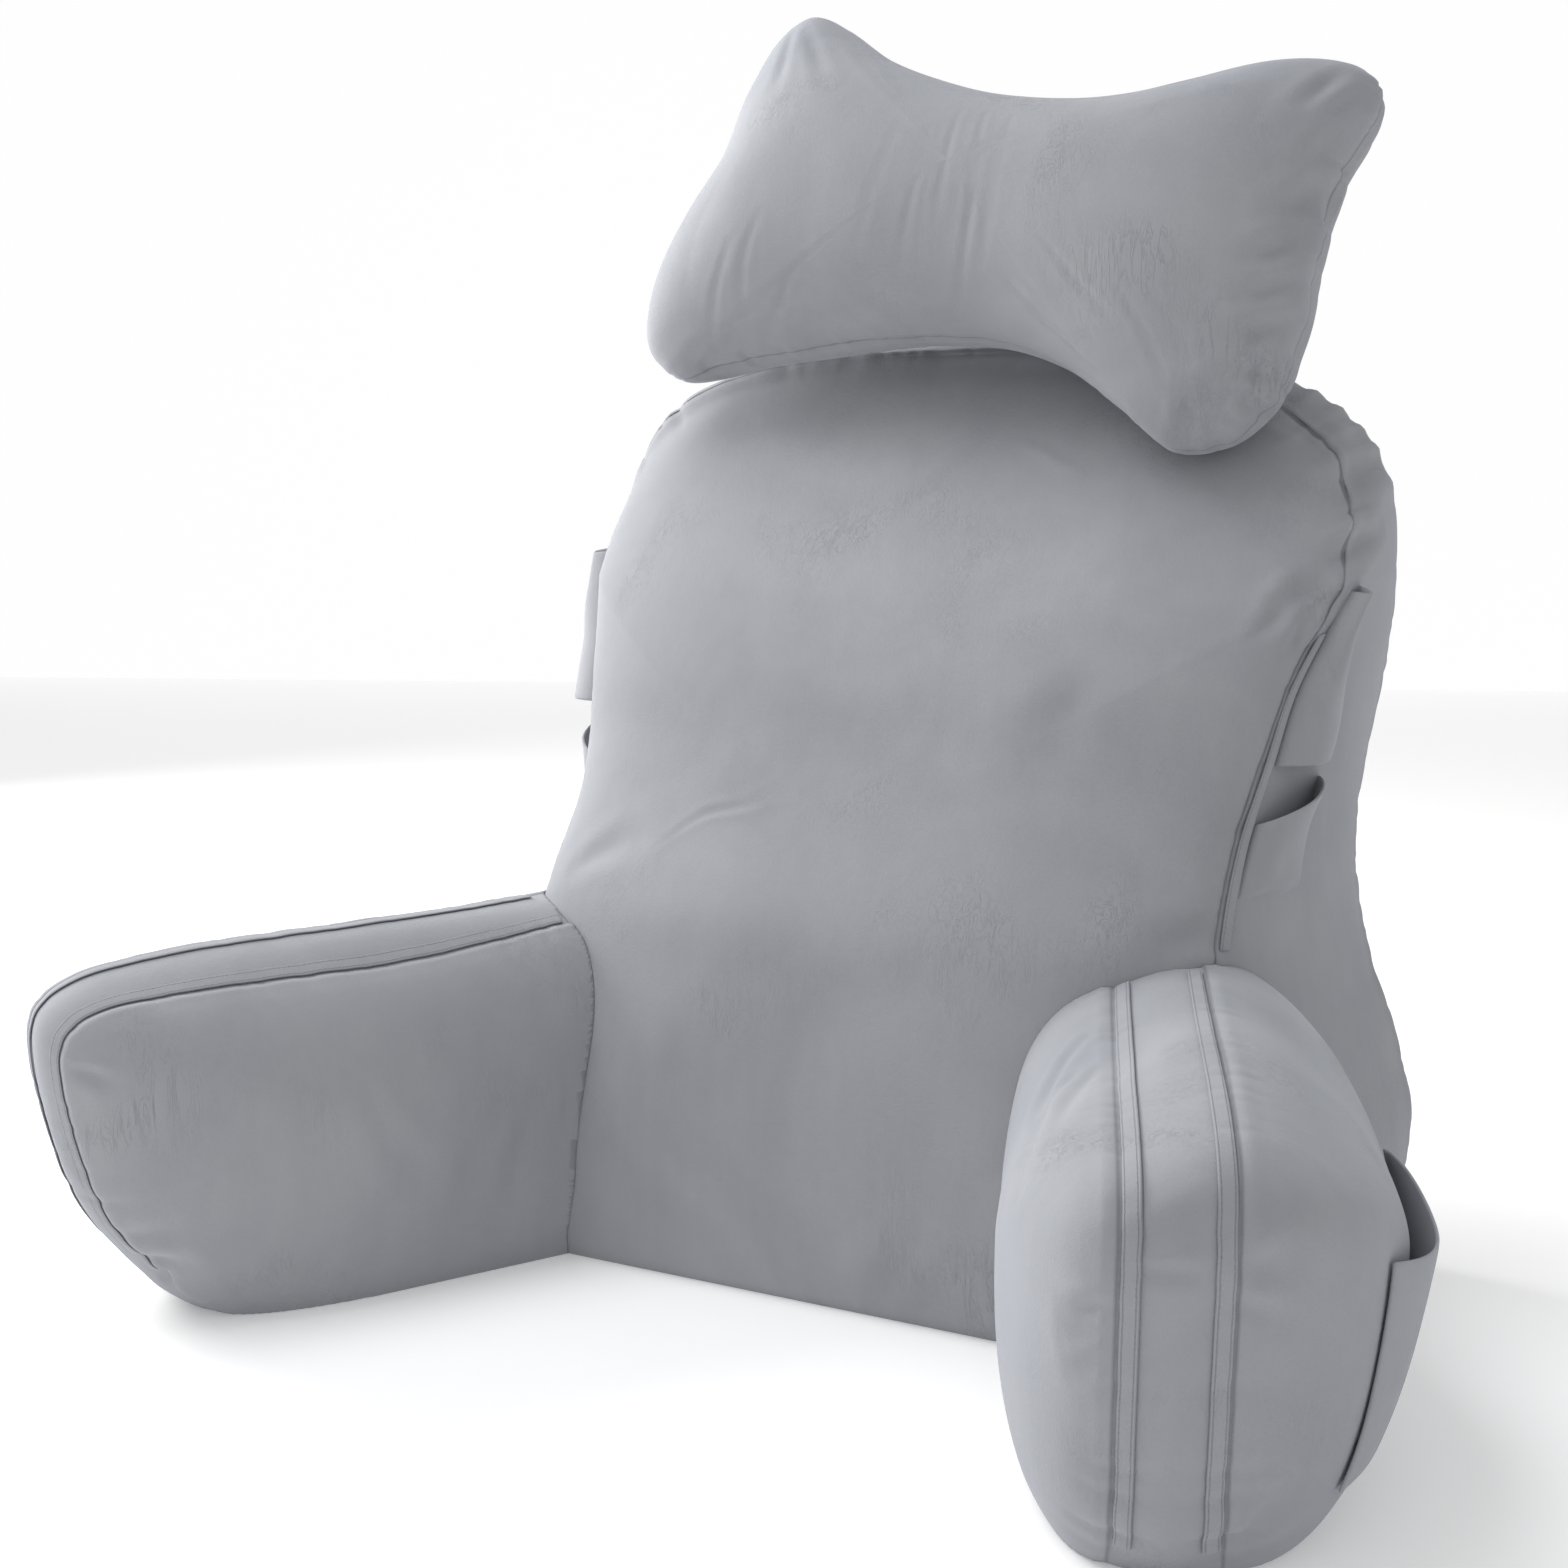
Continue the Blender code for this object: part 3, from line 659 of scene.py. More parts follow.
def arm_points(side, along, out, height):
    toe = rising(along, TOE_START, TOE_END) * (1.0 - rising(height, 0.0, TOE_HEIGHT))
    if side < 0:
        height = height + LEFT_TOE_LIFT * toe
    else:
        along = along + RIGHT_TOE_PUSH * toe
    x = ARM_ROOT[0] + along * math.sin(ARM_SPLAY) + out * math.cos(ARM_SPLAY)
    y = ARM_ROOT[1] - along * math.cos(ARM_SPLAY) + out * math.sin(ARM_SPLAY)
    return np.stack([side * x, y - MIDDLE_Y, height], -1)


def arm_panel_ring(side, seam, share, which):
    along = ARM_CENTRE[0] + (seam[:, 0] - ARM_CENTRE[0]) * share
    height = ARM_CENTRE[1] + (seam[:, 1] - ARM_CENTRE[1]) * share
    if which == "inner":
        out = -INNER_CROWN[side] * crown(share)
    else:
        out = BAND_WIDTH + OUTER_CROWN * crown(share, 2.2, 0.6)
    return arm_points(side, along, np.full(len(along), out), height)


def arm_band_ring(side, inner, outer, step):
    swell = 0.005 * math.sin(math.pi * step)
    along = inner[:, 0] + (outer[:, 0] - inner[:, 0]) * step
    height = inner[:, 1] + (outer[:, 1] - inner[:, 1]) * step
    reach = np.hypot(along - ARM_CENTRE[0], height - ARM_CENTRE[1])
    along = along + swell * (along - ARM_CENTRE[0]) / reach
    height = height + swell * (height - ARM_CENTRE[1]) / reach
    return arm_points(side, along, np.full(len(along), BAND_WIDTH * step), height)


ARM_SKIN = (420, 54, 40, 60)


def arm_rings(side):
    columns, inner_count, band_count, outer_count = ARM_SKIN
    rows = np.array(ARM_ROWS)
    seams, marks = closed_curve(np.stack([rows[:, 0], rows[:, 1], rows[:, 0], rows[:, 2]], -1), columns)
    inner, outer = seams[:, :2], seams[:, 2:]
    rings = [arm_panel_ring(side, inner, share, "inner") for share in eased_steps(inner_count, 0.7)]
    rings += [arm_band_ring(side, inner, outer, step / band_count) for step in range(1, band_count)]
    rings += [arm_panel_ring(side, outer, share, "outer") for share in eased_steps(outer_count, 0.7)[::-1]]
    return np.array(rings), (inner_count - 1, inner_count - 1 + band_count), marks


ARM_SEED = {1: 20, -1: 40}
ARM_GATHERS = (0.0005, 0.020, 0.019)
ARM_FINE_GATHERS = (0.0008, 0.012, 0.012)
FOOT_GATHER = 0.003
FOOT_MIDDLE, FOOT_REACH = 0.03, 0.05
FRONT_START, FRONT_END = 0.15, 0.27
ARM_GROOVE = (0.0014, 0.0030)
ARM_ROLL = (0.0024, 0.008)
BAND_GROOVE_SHARE = 0.25
BAND_CALM = 0.5
ARM_LUMPS = ((0.0018, 0.12), (0.0006, 0.045))


def shaped_arm(side):
    rings, seams, marks = arm_rings(side)
    settled(rings)
    distance = seam_distance(rings, seams)
    along = gone_along(rings[seams[0]])[None, :]
    points = rings.copy()
    seed = ARM_SEED[side]
    ring_place = np.arange(len(rings))[:, None]
    on_band = (ring_place > seams[0]) & (ring_place < seams[1])
    move = creased(points, ARM_CREASES[side])
    foot = beside(points[..., 2] - FOOT_MIDDLE, FOOT_REACH)
    foot = foot * rising(-points[..., 1], FRONT_START, FRONT_END)
    depth, *sizes = ARM_GATHERS
    move += (depth + FOOT_GATHER * foot) * gathers(distance, along, *sizes, seed)
    depth, *sizes = ARM_FINE_GATHERS
    move += depth * gathers(distance, along, *sizes, seed + 1)
    groove = ARM_GROOVE[0] * beside(distance, ARM_GROOVE[1])
    move -= np.where(on_band, BAND_GROOVE_SHARE * groove, groove)
    move += np.where(on_band, 0.0, ARM_ROLL[0] * beside(distance, ARM_ROLL[1]))
    calm = np.where(on_band, BAND_CALM, 1.0)
    table = [(height, size, seed + 2 + i) for i, (height, size) in enumerate(ARM_LUMPS)]
    move += calm * lumps(points, table)
    raised = rising(points[..., 2], FLAT_HEIGHT, FREE_HEIGHT)
    points += outward(rings) * (move * raised)[..., None]
    return settled(points), distance, seams, marks


# Neck pillow


NECK_SKIN = (480, 78)
NECK_GRID = 0.005
NECK_ROUNDS = 1800
NECK_EDGE = 0.78
NECK_FULL = 0.080
NECK_GATHERS = (0.0004, 0.020, 0.018, 61)
NECK_FINE_GATHERS = (0.0010, 0.010, 0.010, 62)
NECK_END_GATHER = {"right": 0.0030, "left": 0.0012}
NECK_GROOVE = (0.0016, 0.0030)
NECK_LUMPS = ((0.0020, 0.10, 63), (0.0007, 0.04, 64))


def blown_field(seam, step, rounds):
    """Height of a film blown up inside an outline, on a grid of squares, and the grid's lowest corner."""
    low = seam.min(0) - 2 * step
    counts = np.ceil((seam.max(0) + 2 * step - low) / step).astype(int)
    xs, ys = (low[i] + step * np.arange(counts[i]) for i in (0, 1))
    grid_x, grid_y = np.meshgrid(xs, ys, indexing="ij")
    inside = np.zeros(grid_x.shape, bool)
    for a, b in zip(seam, np.roll(seam, -1, 0)):
        if a[1] == b[1]:
            continue
        spans = (a[1] > grid_y) != (b[1] > grid_y)
        inside ^= spans & (grid_x < (b[0] - a[0]) * (grid_y - a[1]) / (b[1] - a[1]) + a[0])
    film = np.zeros(grid_x.shape)
    for _ in range(rounds):
        around = np.roll(film, 1, 0) + np.roll(film, -1, 0) + np.roll(film, 1, 1) + np.roll(film, -1, 1)
        film = np.where(inside, around / 4 + step * step / 4, 0.0)
    return np.sqrt(film / film.max()), low


def sampled(field, low, step, across, up):
    x, y = (across - low[0]) / step, (up - low[1]) / step
    i, j = np.floor(x).astype(int), np.floor(y).astype(int)
    s, t = x - i, y - j
    near_side = field[i, j] * (1 - t) + field[i, j + 1] * t
    far_side = field[i + 1, j] * (1 - t) + field[i + 1, j + 1] * t
    return near_side * (1 - s) + far_side * s


def neck_depth(seam, share, field, low):
    """Half the pillow's thickness: the blown film inside, rounded off to the seam near the edge."""
    inner = min(share, NECK_EDGE)
    height = sampled(field, low, NECK_GRID, seam[:, 0] * inner, seam[:, 1] * inner)
    wide = np.ones(9) / 9
    height = np.convolve(np.concatenate([height[-4:], height, height[:4]]), wide, "valid")
    return NECK_FULL * height * crown(share, 3.2, 0.5) / crown(inner, 3.2, 0.5) * crown(inner, 12.0, 0.5)


def neck_ring(seam, share, face, field, low):
    across = seam[:, 0] * share
    up = seam[:, 1] * share
    depth = face * neck_depth(seam, share, field, low)
    return np.stack([
        NECK_CENTRE[0] + across,
        NECK_CENTRE[1] + up * math.sin(NECK_LEAN) + depth * math.cos(NECK_LEAN) - MIDDLE_Y,
        NECK_CENTRE[2] + up * math.cos(NECK_LEAN) - depth * math.sin(NECK_LEAN),
    ], -1)


def shaped_neck():
    columns, count = NECK_SKIN
    seam, _ = closed_curve(NECK_ROWS, columns)
    shares = eased_steps(count, 0.8)
    field, low = blown_field(seam, NECK_GRID, NECK_ROUNDS)
    rings = [neck_ring(seam, share, -1, field, low) for share in shares]
    rings += [neck_ring(seam, share, 1, field, low) for share in shares[-2::-1]]
    rings = np.array(rings)
    distance = seam_distance(rings, (count - 1,))
    along = gone_along(rings[count - 1])[None, :]
    points = rings.copy()
    right_end = rising(points[..., 0], 0.16, 0.24)
    left_end = rising(-points[..., 0], 0.10, 0.22)
    depth_way = np.array([0.0, math.cos(NECK_LEAN), -math.sin(NECK_LEAN)])
    flat_points = points - (points @ depth_way)[..., None] * depth_way
    flat_table = []
    for width, depth, line in NECK_CREASES:
        line = np.array(line)
        flat_table.append((width, depth, line - (line @ depth_way)[:, None] * depth_way))
    front_face = np.arange(len(points))[:, None] < count
    move = creased(flat_points, flat_table) * front_face
    depth, *sizes = NECK_GATHERS
    depth = depth + NECK_END_GATHER["right"] * right_end + NECK_END_GATHER["left"] * left_end
    move += depth * gathers(distance, along, *sizes)
    depth, *sizes = NECK_FINE_GATHERS
    move += depth * gathers(distance, along, *sizes)
    move -= NECK_GROOVE[0] * beside(distance, NECK_GROOVE[1])
    move += lumps(points, NECK_LUMPS)
    points += outward(rings) * move[..., None]
    return points, distance


# Tapes and pockets


def gusset_at(side, height, step):
    """Points of the back's side strip at heights, from 0 at the front seam to 1 at the rear."""
    height, step = np.broadcast_arrays(np.asarray(height, float), np.asarray(step, float))
    front_half = back_value(height, "front_half")
    rear_half = back_value(height, "rear_half")
    front_y = back_value(height, "front_y")
    rear_y = back_value(height, "rear_y")
    away = np.stack([front_half, height - BACK_CENTRE], -1)
    away /= np.linalg.norm(away, axis=-1, keepdims=True)
    swell = GUSSET_BULGE * np.sin(np.pi * step) ** 0.7
    x = front_half + (rear_half - front_half) * step + away[..., 0] * swell
    y = front_y + (rear_y - front_y) * step - MIDDLE_Y
    z = height + away[..., 1] * swell
    return np.stack([side * x, y, z], -1)


def gusset_normal(side, height, step):
    up = gusset_at(side, height + 0.01, step) - gusset_at(side, height - 0.01, step)
    ahead = gusset_at(side, height, np.minimum(step + 0.03, 1.0))
    back = ahead - gusset_at(side, height, np.maximum(step - 0.03, 0.002))
    normal = side * np.cross(back, up)
    return normal / np.linalg.norm(normal, axis=-1, keepdims=True)


TAPE_WIDTH = 0.0097
TAPE_CLOTH = 0.0011
ARM_TAPE_LIFT = 0.0016
BACK_TAPE_LIFT = 0.0032
BACK_TAPE_CLOTH = 0.001
BACK_TAPE_HEIGHTS = (0.236, 0.420)
BACK_TAPE_STEPS = (0.010, 0.052)
# An arm tape runs from and to these rows of the arm's outline, and is this many rings of its band wide
TAPE_FIRST, TAPE_LAST, TAPE_RINGS = 5, 17, 8
CUT_GAP = 0.0005
NECK_GAP = 0.0006
LEFT_RISE = 0.014
FLAP_SIZE = (0.340, 0.446, 0.060, 0.40)
FLAP_GAPE = {1: (0.015, 0.013), -1: (0.026, 0.014)}
SIDE_POCKET_SIZE = (0.262, 0.328, 0.060, 0.40)
SIDE_POCKET_GAPE = (0.0, 0.016)
SIDE_POCKET_DIP = 0.022
FLAP_TAPER = 0.25
SEWN_SINK = 0.0023
SHEET_FOLDS = (0.0012, 0.02, 77)
CLOTH = 0.002
SHEET_LIFT = 0.0006
POCKET_LIFT = 0.0008


def side_sheet(name, side, size, gape, dip, taper, material):
    """Cloth on the side strip of the back: size holds its foot, its top and its first and last step."""
    low, high, first, last = size
    lift = LEFT_RISE if side < 0 else 0.0
    up = np.linspace(0, 1, 36)[:, None]
    over = np.linspace(0, 1, 40)[None, :]
    height = low + (high - low) * up + lift
    height = height - dip * up * (1.0 - over) ** 1.3
    edge = last - taper * rising(up, 0.15, 1.05)
    step = first + (edge - first) * over
    stand = np.sin(np.pi * over**0.85) ** 0.8 * (gape[0] + (gape[1] - gape[0]) * up)
    normal = gusset_normal(side, height, step)
    points = gusset_at(side, height, step)
    folds = SHEET_FOLDS[0] * wander(points, *SHEET_FOLDS[1:]) * np.sin(np.pi * over)
    sewn = 1.0 - np.sin(np.pi * over) ** 0.25
    if dip > 0.0:
        sewn = np.maximum(sewn, 1.0 - rising(up, 0.0, 0.14))
    points = points + normal * (stand + CLOTH + SHEET_LIFT + folds - SEWN_SINK * sewn)[..., None]
    return cloth_sheet(name, points, CLOTH, material, (side, 0, 0))


def back_tape(name, side, material):
    height = np.linspace(*BACK_TAPE_HEIGHTS, 90)[:, None]
    step = np.linspace(*BACK_TAPE_STEPS, 7)[None, :]
    height, step = np.broadcast_arrays(height, step)
    points = gusset_at(side, height, step) + gusset_normal(side, height, step) * BACK_TAPE_LIFT
    return cloth_sheet(name, points, BACK_TAPE_CLOTH, material, (side, 0, 0))


POCKET_BACK = 0.060
POCKET_FRONT = 0.262
POCKET_FOOT = 0.035
POCKET_LIP = 0.146
POCKET_SAG = 0.016
POCKET_GAPE = 0.014


def outline_share(along, height):
    """How far places on the outer panel lie from its centre towards its seam."""
    rows = np.array(ARM_ROWS)
    seams, _ = closed_curve(rows[:, [0, 2]], 2000)
    angle = np.arctan2(seams[:, 1] - ARM_CENTRE[1], seams[:, 0] - ARM_CENTRE[0])
    reach = np.hypot(seams[:, 1] - ARM_CENTRE[1], seams[:, 0] - ARM_CENTRE[0])
    order = np.argsort(angle)
    wanted = np.arctan2(height - ARM_CENTRE[1], along - ARM_CENTRE[0])
    limit = np.interp(wanted, angle[order], reach[order], period=2 * math.pi)
    return np.hypot(height - ARM_CENTRE[1], along - ARM_CENTRE[0]) / limit


def arm_pocket(name, side, material):
    up = np.linspace(0, 1, 48)[:, None]
    over = np.linspace(0, 1, 72)[None, :]
    along = POCKET_BACK + (POCKET_FRONT - POCKET_BACK) * over
    lip = POCKET_LIP - POCKET_SAG * np.sin(np.pi * over)
    height = POCKET_FOOT + (lip - POCKET_FOOT) * up
    stand = POCKET_GAPE * np.sin(np.pi * over**0.7) ** 0.8 * up**1.2
    share = outline_share(along, height)
    out = BAND_WIDTH + OUTER_CROWN * crown(share, 2.2, 0.6) + stand + CLOTH + POCKET_LIFT
    points = arm_points(side, along, out, height)
    return cloth_sheet(name, points, CLOTH, material, (side, 0, 0))


# Materials


class Term:
    """A number that a material works out, with plain arithmetic."""

    def __init__(self, nodes, socket):
        self.nodes = nodes
        self.socket = socket

    def __add__(self, other):
        return self.nodes.maths("ADD", self, other)

    def __sub__(self, other):
        return self.nodes.maths("SUBTRACT", self, other)

    def __rsub__(self, other):
        return self.nodes.maths("SUBTRACT", other, self)

    def __mul__(self, other):
        return self.nodes.maths("MULTIPLY", self, other)

    def __truediv__(self, other):
        return self.nodes.maths("DIVIDE", self, other)

    __radd__ = __add__
    __rmul__ = __mul__


class Cloth:
    """A cloth material and the nodes that paint it."""

    def __init__(self, name):
        self.material = bpy.data.materials.new(name)
        self.material.use_nodes = True
        self.tree = self.material.node_tree
        self.shader = self.tree.nodes["Principled BSDF"]

    def node(self, kind, settings, inputs):
        made = self.tree.nodes.new(kind)
        for name, value in settings.items():
            setattr(made, name, value)
        for name, value in inputs.items():
            self.feed(made.inputs[name], value)
        return made

    def feed(self, socket, value):
        if isinstance(value, Term):
            self.tree.links.new(value.socket, socket)
        else:
            socket.default_value = value

    def maths(self, operation, first, second):
        made = self.node("ShaderNodeMath", {"operation": operation}, {0: first, 1: second})
        return Term(self, made.outputs[0])

    def clamped(self, value):
        made = self.node("ShaderNodeClamp", {}, {"Value": value})
        return Term(self, made.outputs[0])

    def place(self):
        made = self.node("ShaderNodeTexCoord", {}, {})
        return Term(self, made.outputs["Object"])

    def stretched(self, place, scale):
        made = self.node("ShaderNodeVectorMath", {"operation": "MULTIPLY"}, {0: place, 1: scale})
        return Term(self, made.outputs["Vector"])

    def noise(self, place, scale, detail=2.0, roughness=0.5, distortion=0.0):
        inputs = {
            "Vector": place,
            "Scale": scale,
            "Detail": detail,
            "Roughness": roughness,
            "Distortion": distortion,
        }
        return Term(self, self.node("ShaderNodeTexNoise", {}, inputs).outputs["Fac"])

    def mixed(self, share, first, second):
        inputs = {"Factor": share}
        made = self.node("ShaderNodeMix", {"data_type": "RGBA"}, inputs)
        self.feed(made.inputs[6], first)
        self.feed(made.inputs[7], second)
        return Term(self, made.outputs[2])

    def attribute(self, name):
        made = self.node("ShaderNodeAttribute", {"attribute_name": name}, {})
        return Term(self, made.outputs["Fac"])

    def finish(self, colour, roughness, height, distance, sheen):
        self.feed(self.shader.inputs["Base Color"], colour)
        self.feed(self.shader.inputs["Roughness"], roughness)
        self.shader.inputs["Metallic"].default_value = 0.0
        self.shader.inputs["Specular IOR Level"].default_value = 0.2
        self.shader.inputs["Sheen Weight"].default_value = sheen
        self.shader.inputs["Sheen Roughness"].default_value = 0.45
        self.shader.inputs["Sheen Tint"].default_value = (0.82, 0.86, 0.95, 1.0)
        inputs = {"Height": height, "Distance": distance, "Strength": 1.0}
        bump = self.node("ShaderNodeBump", {}, inputs)
        self.tree.links.new(bump.outputs["Normal"], self.shader.inputs["Normal"])
        return self.material


PILE_DARK = (0.262, 0.270, 0.292, 1.0)
PILE_LIGHT = (0.350, 0.356, 0.374, 1.0)
PILE_BLUE = (0.235, 0.252, 0.296, 1.0)
# Near-black for seam lines, stitches and crushed pile lines, and for the painted shade along the long edges
# of the tapes
SEAM_AND_SHADE_DARK = (0.10, 0.105, 0.12, 1.0)
SEAM_LINE = 0.0016
STITCH_INSET, STITCH_HALF, STITCH_PITCH, STITCH_SHARE = 0.0016, 0.0005, 0.0034, 0.68
# Width of the painted shade along each long edge of a tape
TAPE_EDGE_SHADE = 0.0007
PILE_DEEP, SHEET_PILE_DEEP = 0.00035, 0.00030
SHEEN = 0.30


def pile(cloth):
    """Colour, roughness and height of brushed short pile."""
    place = cloth.place()
    patches = cloth.noise(place, 7.0, 3.0, 0.5, 0.7)
    brushed = cloth.noise(cloth.stretched(place, (60.0, 60.0, 14.0)), 1.0, 3.0, 0.6)
    hairs = cloth.noise(place, 1500.0, 2.0, 0.7)
    tufts = cloth.noise(place, 420.0, 2.0, 0.6)
    nap = cloth.clamped(patches * 1.5 + brushed * 0.35 + hairs * 0.25 - 0.55)
    cool = cloth.clamped(cloth.noise(place, 4.0, 2.0, 0.5, 0.4) * 2.4 - 1.2)
    colour = cloth.mixed(nap, PILE_DARK, PILE_LIGHT)
    colour = cloth.mixed(cool * 0.35, colour, PILE_BLUE)
    roughness = nap * 0.12 + 0.76
    strands = cloth.noise(cloth.stretched(place, (170.0, 170.0, 26.0)), 1.0, 3.0, 0.6, 1.2)
    crushed = cloth.clamped(1.0 - cloth.maths("ABSOLUTE", strands - 0.5, 0.0) * 26.0)
    where = cloth.clamped(cloth.noise(place, 11.0, 2.0, 0.5, 0.5) * 5.0 - 2.6)
    hairline = crushed * where
    height = hairs * 0.55 + tufts * 0.45 + brushed * 0.5 - hairline * 0.6
    colour = cloth.mixed(hairline * 0.10, colour, SEAM_AND_SHADE_DARK)
    return colour, roughness, height


def velour(name):
    cloth = Cloth(name)
    colour, roughness, height = pile(cloth)
    line = cloth.clamped(1.0 - cloth.attribute("seam") / SEAM_LINE)
    colour = cloth.mixed(line * 0.55, colour, SEAM_AND_SHADE_DARK)
    return cloth.finish(colour, roughness, height, PILE_DEEP, SHEEN)


def sheet_velour(name):
    cloth = Cloth(name)
    colour, roughness, height = pile(cloth)
    return cloth.finish(colour, roughness, height, SHEET_PILE_DEEP, SHEEN)


def tape_velour(name, width):
    """Pile with a row of topstitches a little in from each long edge, and painted shade darkening both long
    edges.
    """
    cloth = Cloth(name)
    colour, roughness, height = pile(cloth)
    uv = cloth.node("ShaderNodeUVMap", {}, {})
    split = cloth.node("ShaderNodeSeparateXYZ", {}, {"Vector": Term(cloth, uv.outputs["UV"])})
    along = Term(cloth, split.outputs["X"])
    across = Term(cloth, split.outputs["Y"])
    middle = cloth.maths("ABSOLUTE", across - width / 2, 0.0)
    off_row = cloth.maths("ABSOLUTE", middle - (width / 2 - STITCH_INSET), 0.0)
    row = cloth.clamped(1.0 - off_row / STITCH_HALF)
    dash = cloth.maths("LESS_THAN", cloth.maths("FRACT", along / STITCH_PITCH, 0.0), STITCH_SHARE)
    stitch = row * dash
    colour = cloth.mixed(stitch * 0.5, colour, SEAM_AND_SHADE_DARK)
    # Painted shade: the outer strip of each long edge is darkened, for the shade where the tape meets the
    # cloth beneath it
    edge = cloth.clamped((middle - (width / 2 - TAPE_EDGE_SHADE)) / TAPE_EDGE_SHADE)
    colour = cloth.mixed(edge * 0.35, colour, SEAM_AND_SHADE_DARK)
    return cloth.finish(colour, roughness, height - row * 1.6 + stitch * 1.1, PILE_DEEP, SHEEN)


# The pieces


def placed(piece, node):
    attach(piece, "root")
    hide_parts(node)
    return piece


velour_cloth = velour("grey_velour")
pocket_cloth = sheet_velour("grey_velour_pocket")
tape_cloth = tape_velour("grey_velour_tape", TAPE_WIDTH)

back_points, back_distance = shaped_back()
back = skin("back_pad", back_points, back_distance, velour_cloth)
placed(back, "back_cushion")

cutter = skin("back_cutter", back_points + outward(back_points) * CUT_GAP, back_distance, velour_cloth)

HANDS = (("right", 1), ("left", -1))
for hand, side in HANDS:
    points, distance, seams, marks = shaped_arm(side)
    arm = skin("arm_pad_" + hand, points, distance, velour_cloth)
    cut_clear(arm, cutter)
    placed(arm, "arm_" + hand)
    lifted = points + outward(points) * ARM_TAPE_LIFT
    span = slice(int(round(marks[TAPE_FIRST])), int(round(marks[TAPE_LAST] + 1.0)))
    inner_rows = slice(seams[0] + 1, seams[0] + 1 + TAPE_RINGS)
    outer_rows = slice(seams[1] - TAPE_RINGS, seams[1])
    for place, rows in (("inner", inner_rows), ("outer", outer_rows)):
        strip = lifted[rows, span].transpose(1, 0, 2)
        tape = cloth_sheet(f"tape_{place}_{hand}", strip, TAPE_CLOTH, tape_cloth, (side, -1, 1))
        placed(tape, f"arm_tape_{place}_{hand}")
    pocket = arm_pocket("pocket_" + hand, side, pocket_cloth)
    placed(pocket, "arm_pocket_" + hand)
    tape = back_tape("tape_back_" + hand, side, tape_cloth)
    placed(tape, "back_tape_" + hand)
    flap = side_sheet("flap_" + hand, side, FLAP_SIZE, FLAP_GAPE[side], 0.0, FLAP_TAPER, pocket_cloth)
    placed(flap, "side_flap_" + hand)
    low_pocket = side_sheet(
        "low_pocket_" + hand, side, SIDE_POCKET_SIZE, SIDE_POCKET_GAPE, SIDE_POCKET_DIP, 0.0, pocket_cloth
    )
    placed(low_pocket, "side_pocket_" + hand)

bpy.data.objects.remove(cutter)

neck_points, neck_distance = shaped_neck()
neck = skin("neck_pad", neck_points, neck_distance, velour_cloth)
pressed(neck, back, NECK_GAP)
placed(neck, "neck_pillow")


# Camera, light and floor


CAMERA_YAW = math.radians(29.93)
CAMERA_PITCH = math.radians(6.92)
CAMERA_ROLL = math.radians(0.53)
CAMERA_PLACE = (0.6879, -1.2450, 0.4967)
CAMERA_LENS = 52.81
SKY_STRENGTH = 0.62
# Grey value, roughness and glow of the stage's two planes
FLOOR_PAINT = (0.90, 0.9, 0.20)
BACKDROP_PAINT = (0.02, 0.5, 0.95)
FLOOR_SIZE, BACKDROP_SIZE = 12.0, 3.0
BACKDROP_PLACE = (-2.5, 4.3, 0.0)


def aimed(forward, roll):
    """Turn that looks along forward, rolled by an angle."""
    forward = Vector(forward).normalized()
    right = forward.cross(Vector((0, 0, 1))).normalized()
    up = right.cross(forward)
    turned_right = right * math.cos(roll) + up * math.sin(roll)
    turned_up = up * math.cos(roll) - right * math.sin(roll)
    return Matrix((turned_right, turned_up, -forward)).transposed().to_4x4()


def camera():
    level = math.cos(CAMERA_PITCH)
    forward = (-math.sin(CAMERA_YAW) * level, math.cos(CAMERA_YAW) * level, -math.sin(CAMERA_PITCH))
    lens = bpy.data.cameras.new("camera")
    lens.lens = CAMERA_LENS
    lens.sensor_width = 36.0
    holder = bpy.data.objects.new("camera", lens)
    holder.matrix_world = Matrix.Translation(CAMERA_PLACE) @ aimed(forward, CAMERA_ROLL)
    bpy.context.scene.collection.objects.link(holder)
    bpy.context.scene.camera = holder


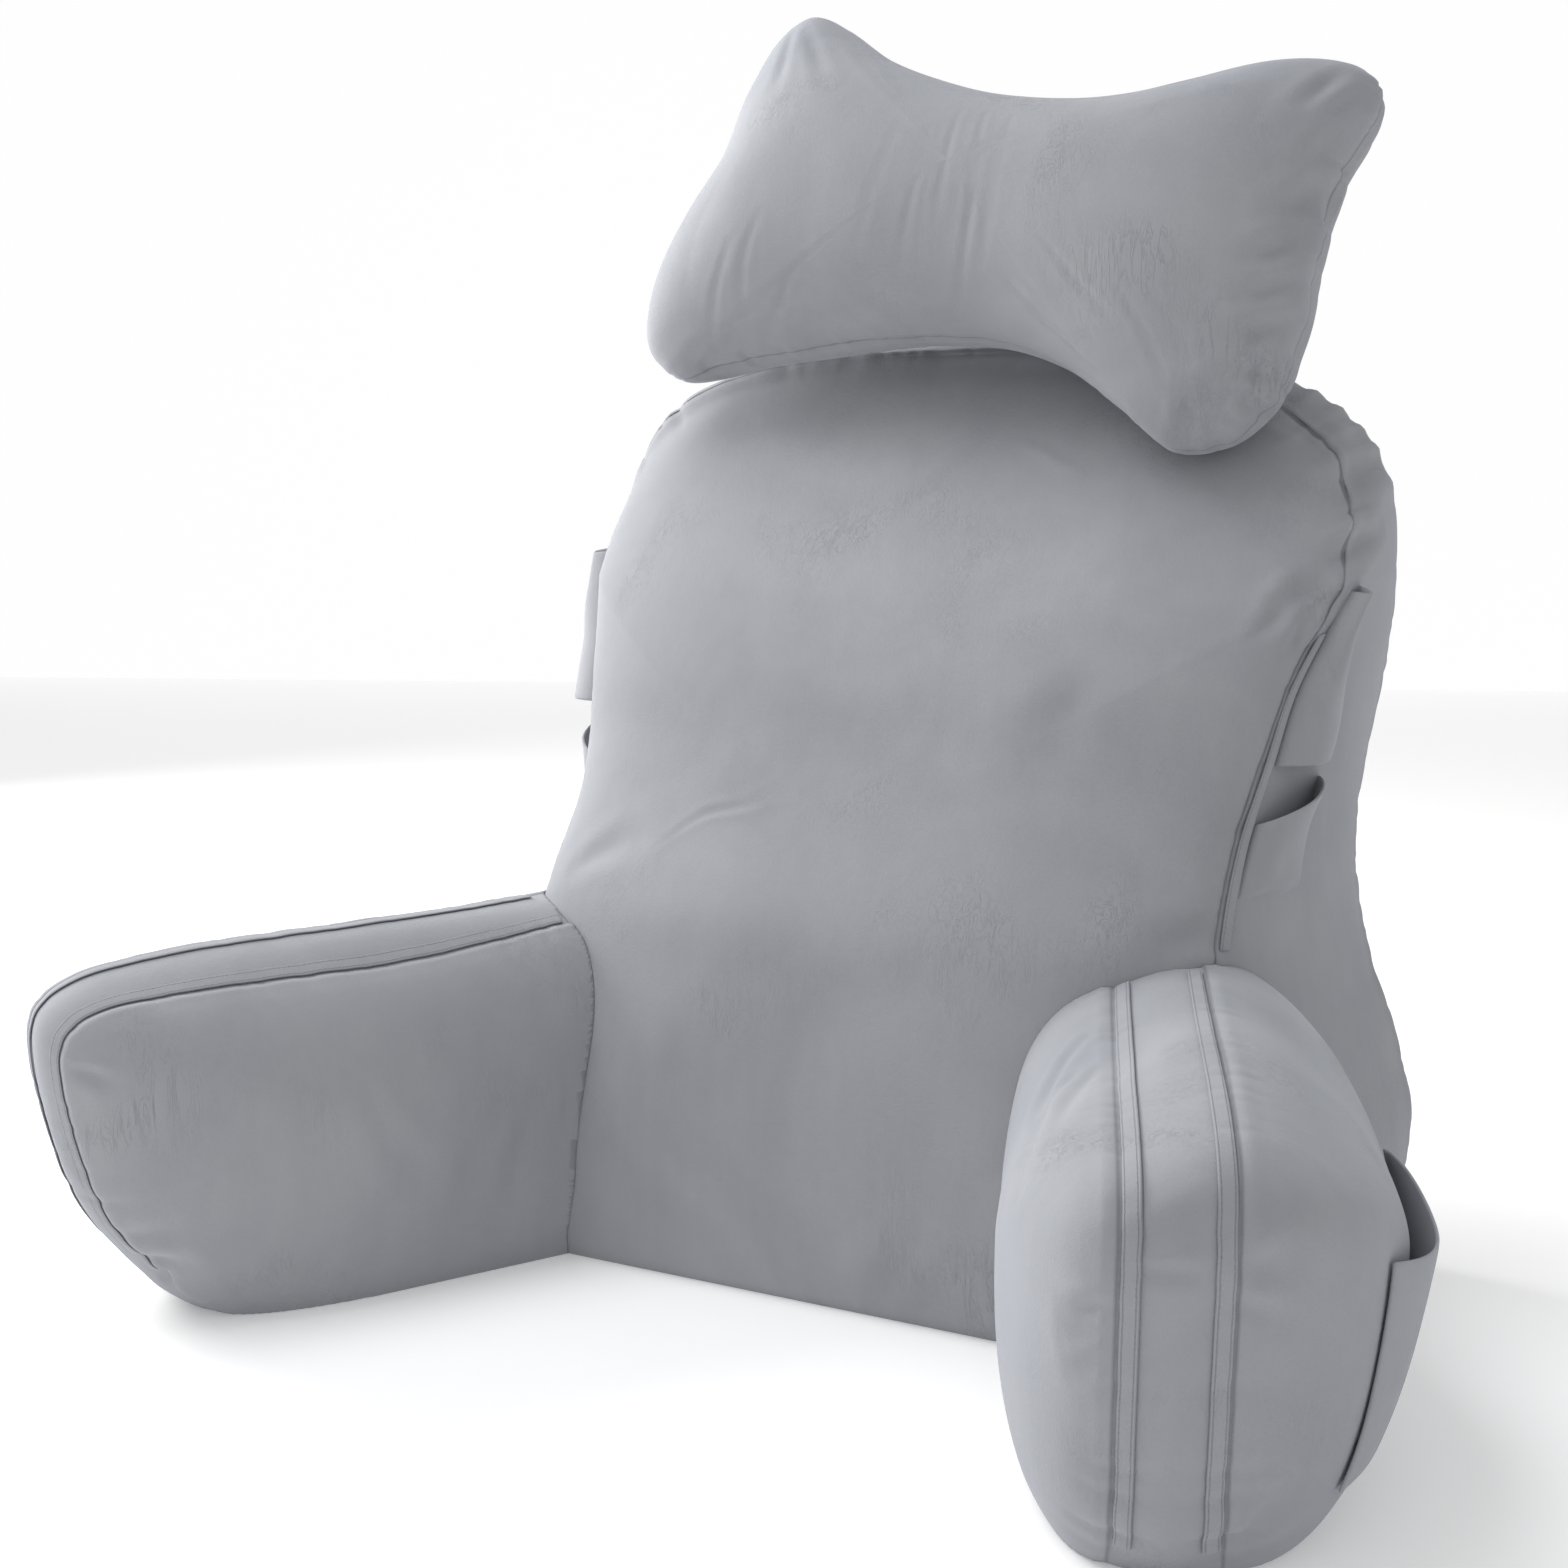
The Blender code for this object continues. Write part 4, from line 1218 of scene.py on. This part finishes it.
def area_light(name, place, target, size, power, colour):
    light = bpy.data.lights.new(name, "AREA")
    light.shape = "SQUARE"
    light.size = size
    light.energy = power
    light.color = colour
    holder = bpy.data.objects.new(name, light)
    forward = Vector(target) - Vector(place)
    holder.matrix_world = Matrix.Translation(place) @ aimed(forward, 0.0)
    bpy.context.scene.collection.objects.link(holder)


def painted(name, grey, roughness, glow):
    """Plain grey paint for the stage, with white light of its own."""
    paint = Cloth(name)
    paint.shader.inputs["Base Color"].default_value = (grey, grey, grey, 1.0)
    paint.shader.inputs["Roughness"].default_value = roughness
    paint.shader.inputs["Emission Color"].default_value = (1.0, 1.0, 1.0, 1.0)
    paint.shader.inputs["Emission Strength"].default_value = glow
    return paint.material


def stage_plane(name, size, place, material):
    bm = bmesh.new()
    bmesh.ops.create_grid(bm, x_segments=1, y_segments=1, size=size)
    bmesh.ops.transform(bm, verts=bm.verts[:], matrix=place)
    mesh = bpy.data.meshes.new(name)
    bm.to_mesh(mesh)
    bm.free()
    mesh.materials.append(material)
    plane = bpy.data.objects.new(name, mesh)
    bpy.context.scene.collection.objects.link(plane)
    return plane


def studio():
    world = bpy.data.worlds.new("studio")
    world.use_nodes = True
    sky = world.node_tree.nodes["Background"]
    sky.inputs["Color"].default_value = (1.0, 1.0, 1.0, 1.0)
    sky.inputs["Strength"].default_value = SKY_STRENGTH
    bpy.context.scene.world = world
    bpy.context.scene.view_settings.view_transform = "Standard"
    area_light("left_window", (-2.3, 0.30, 1.2), (0, 0, 0.4), 1.3, 66, (1.0, 0.99, 0.97))
    area_light("top_soft", (-0.8, -0.5, 2.4), (0, 0, 0.3), 1.4, 26, (0.97, 0.98, 1.0))
    floor = stage_plane("floor", FLOOR_SIZE, Matrix.Identity(4), painted("floor_white", *FLOOR_PAINT))
    upright = Matrix.Rotation(CAMERA_YAW, 4, "Z") @ Matrix.Rotation(math.radians(90), 4, "X")
    place = Matrix.Translation(BACKDROP_PLACE) @ upright
    backdrop = stage_plane("backdrop", BACKDROP_SIZE, place, painted("backdrop_white", *BACKDROP_PAINT))


camera()
studio()
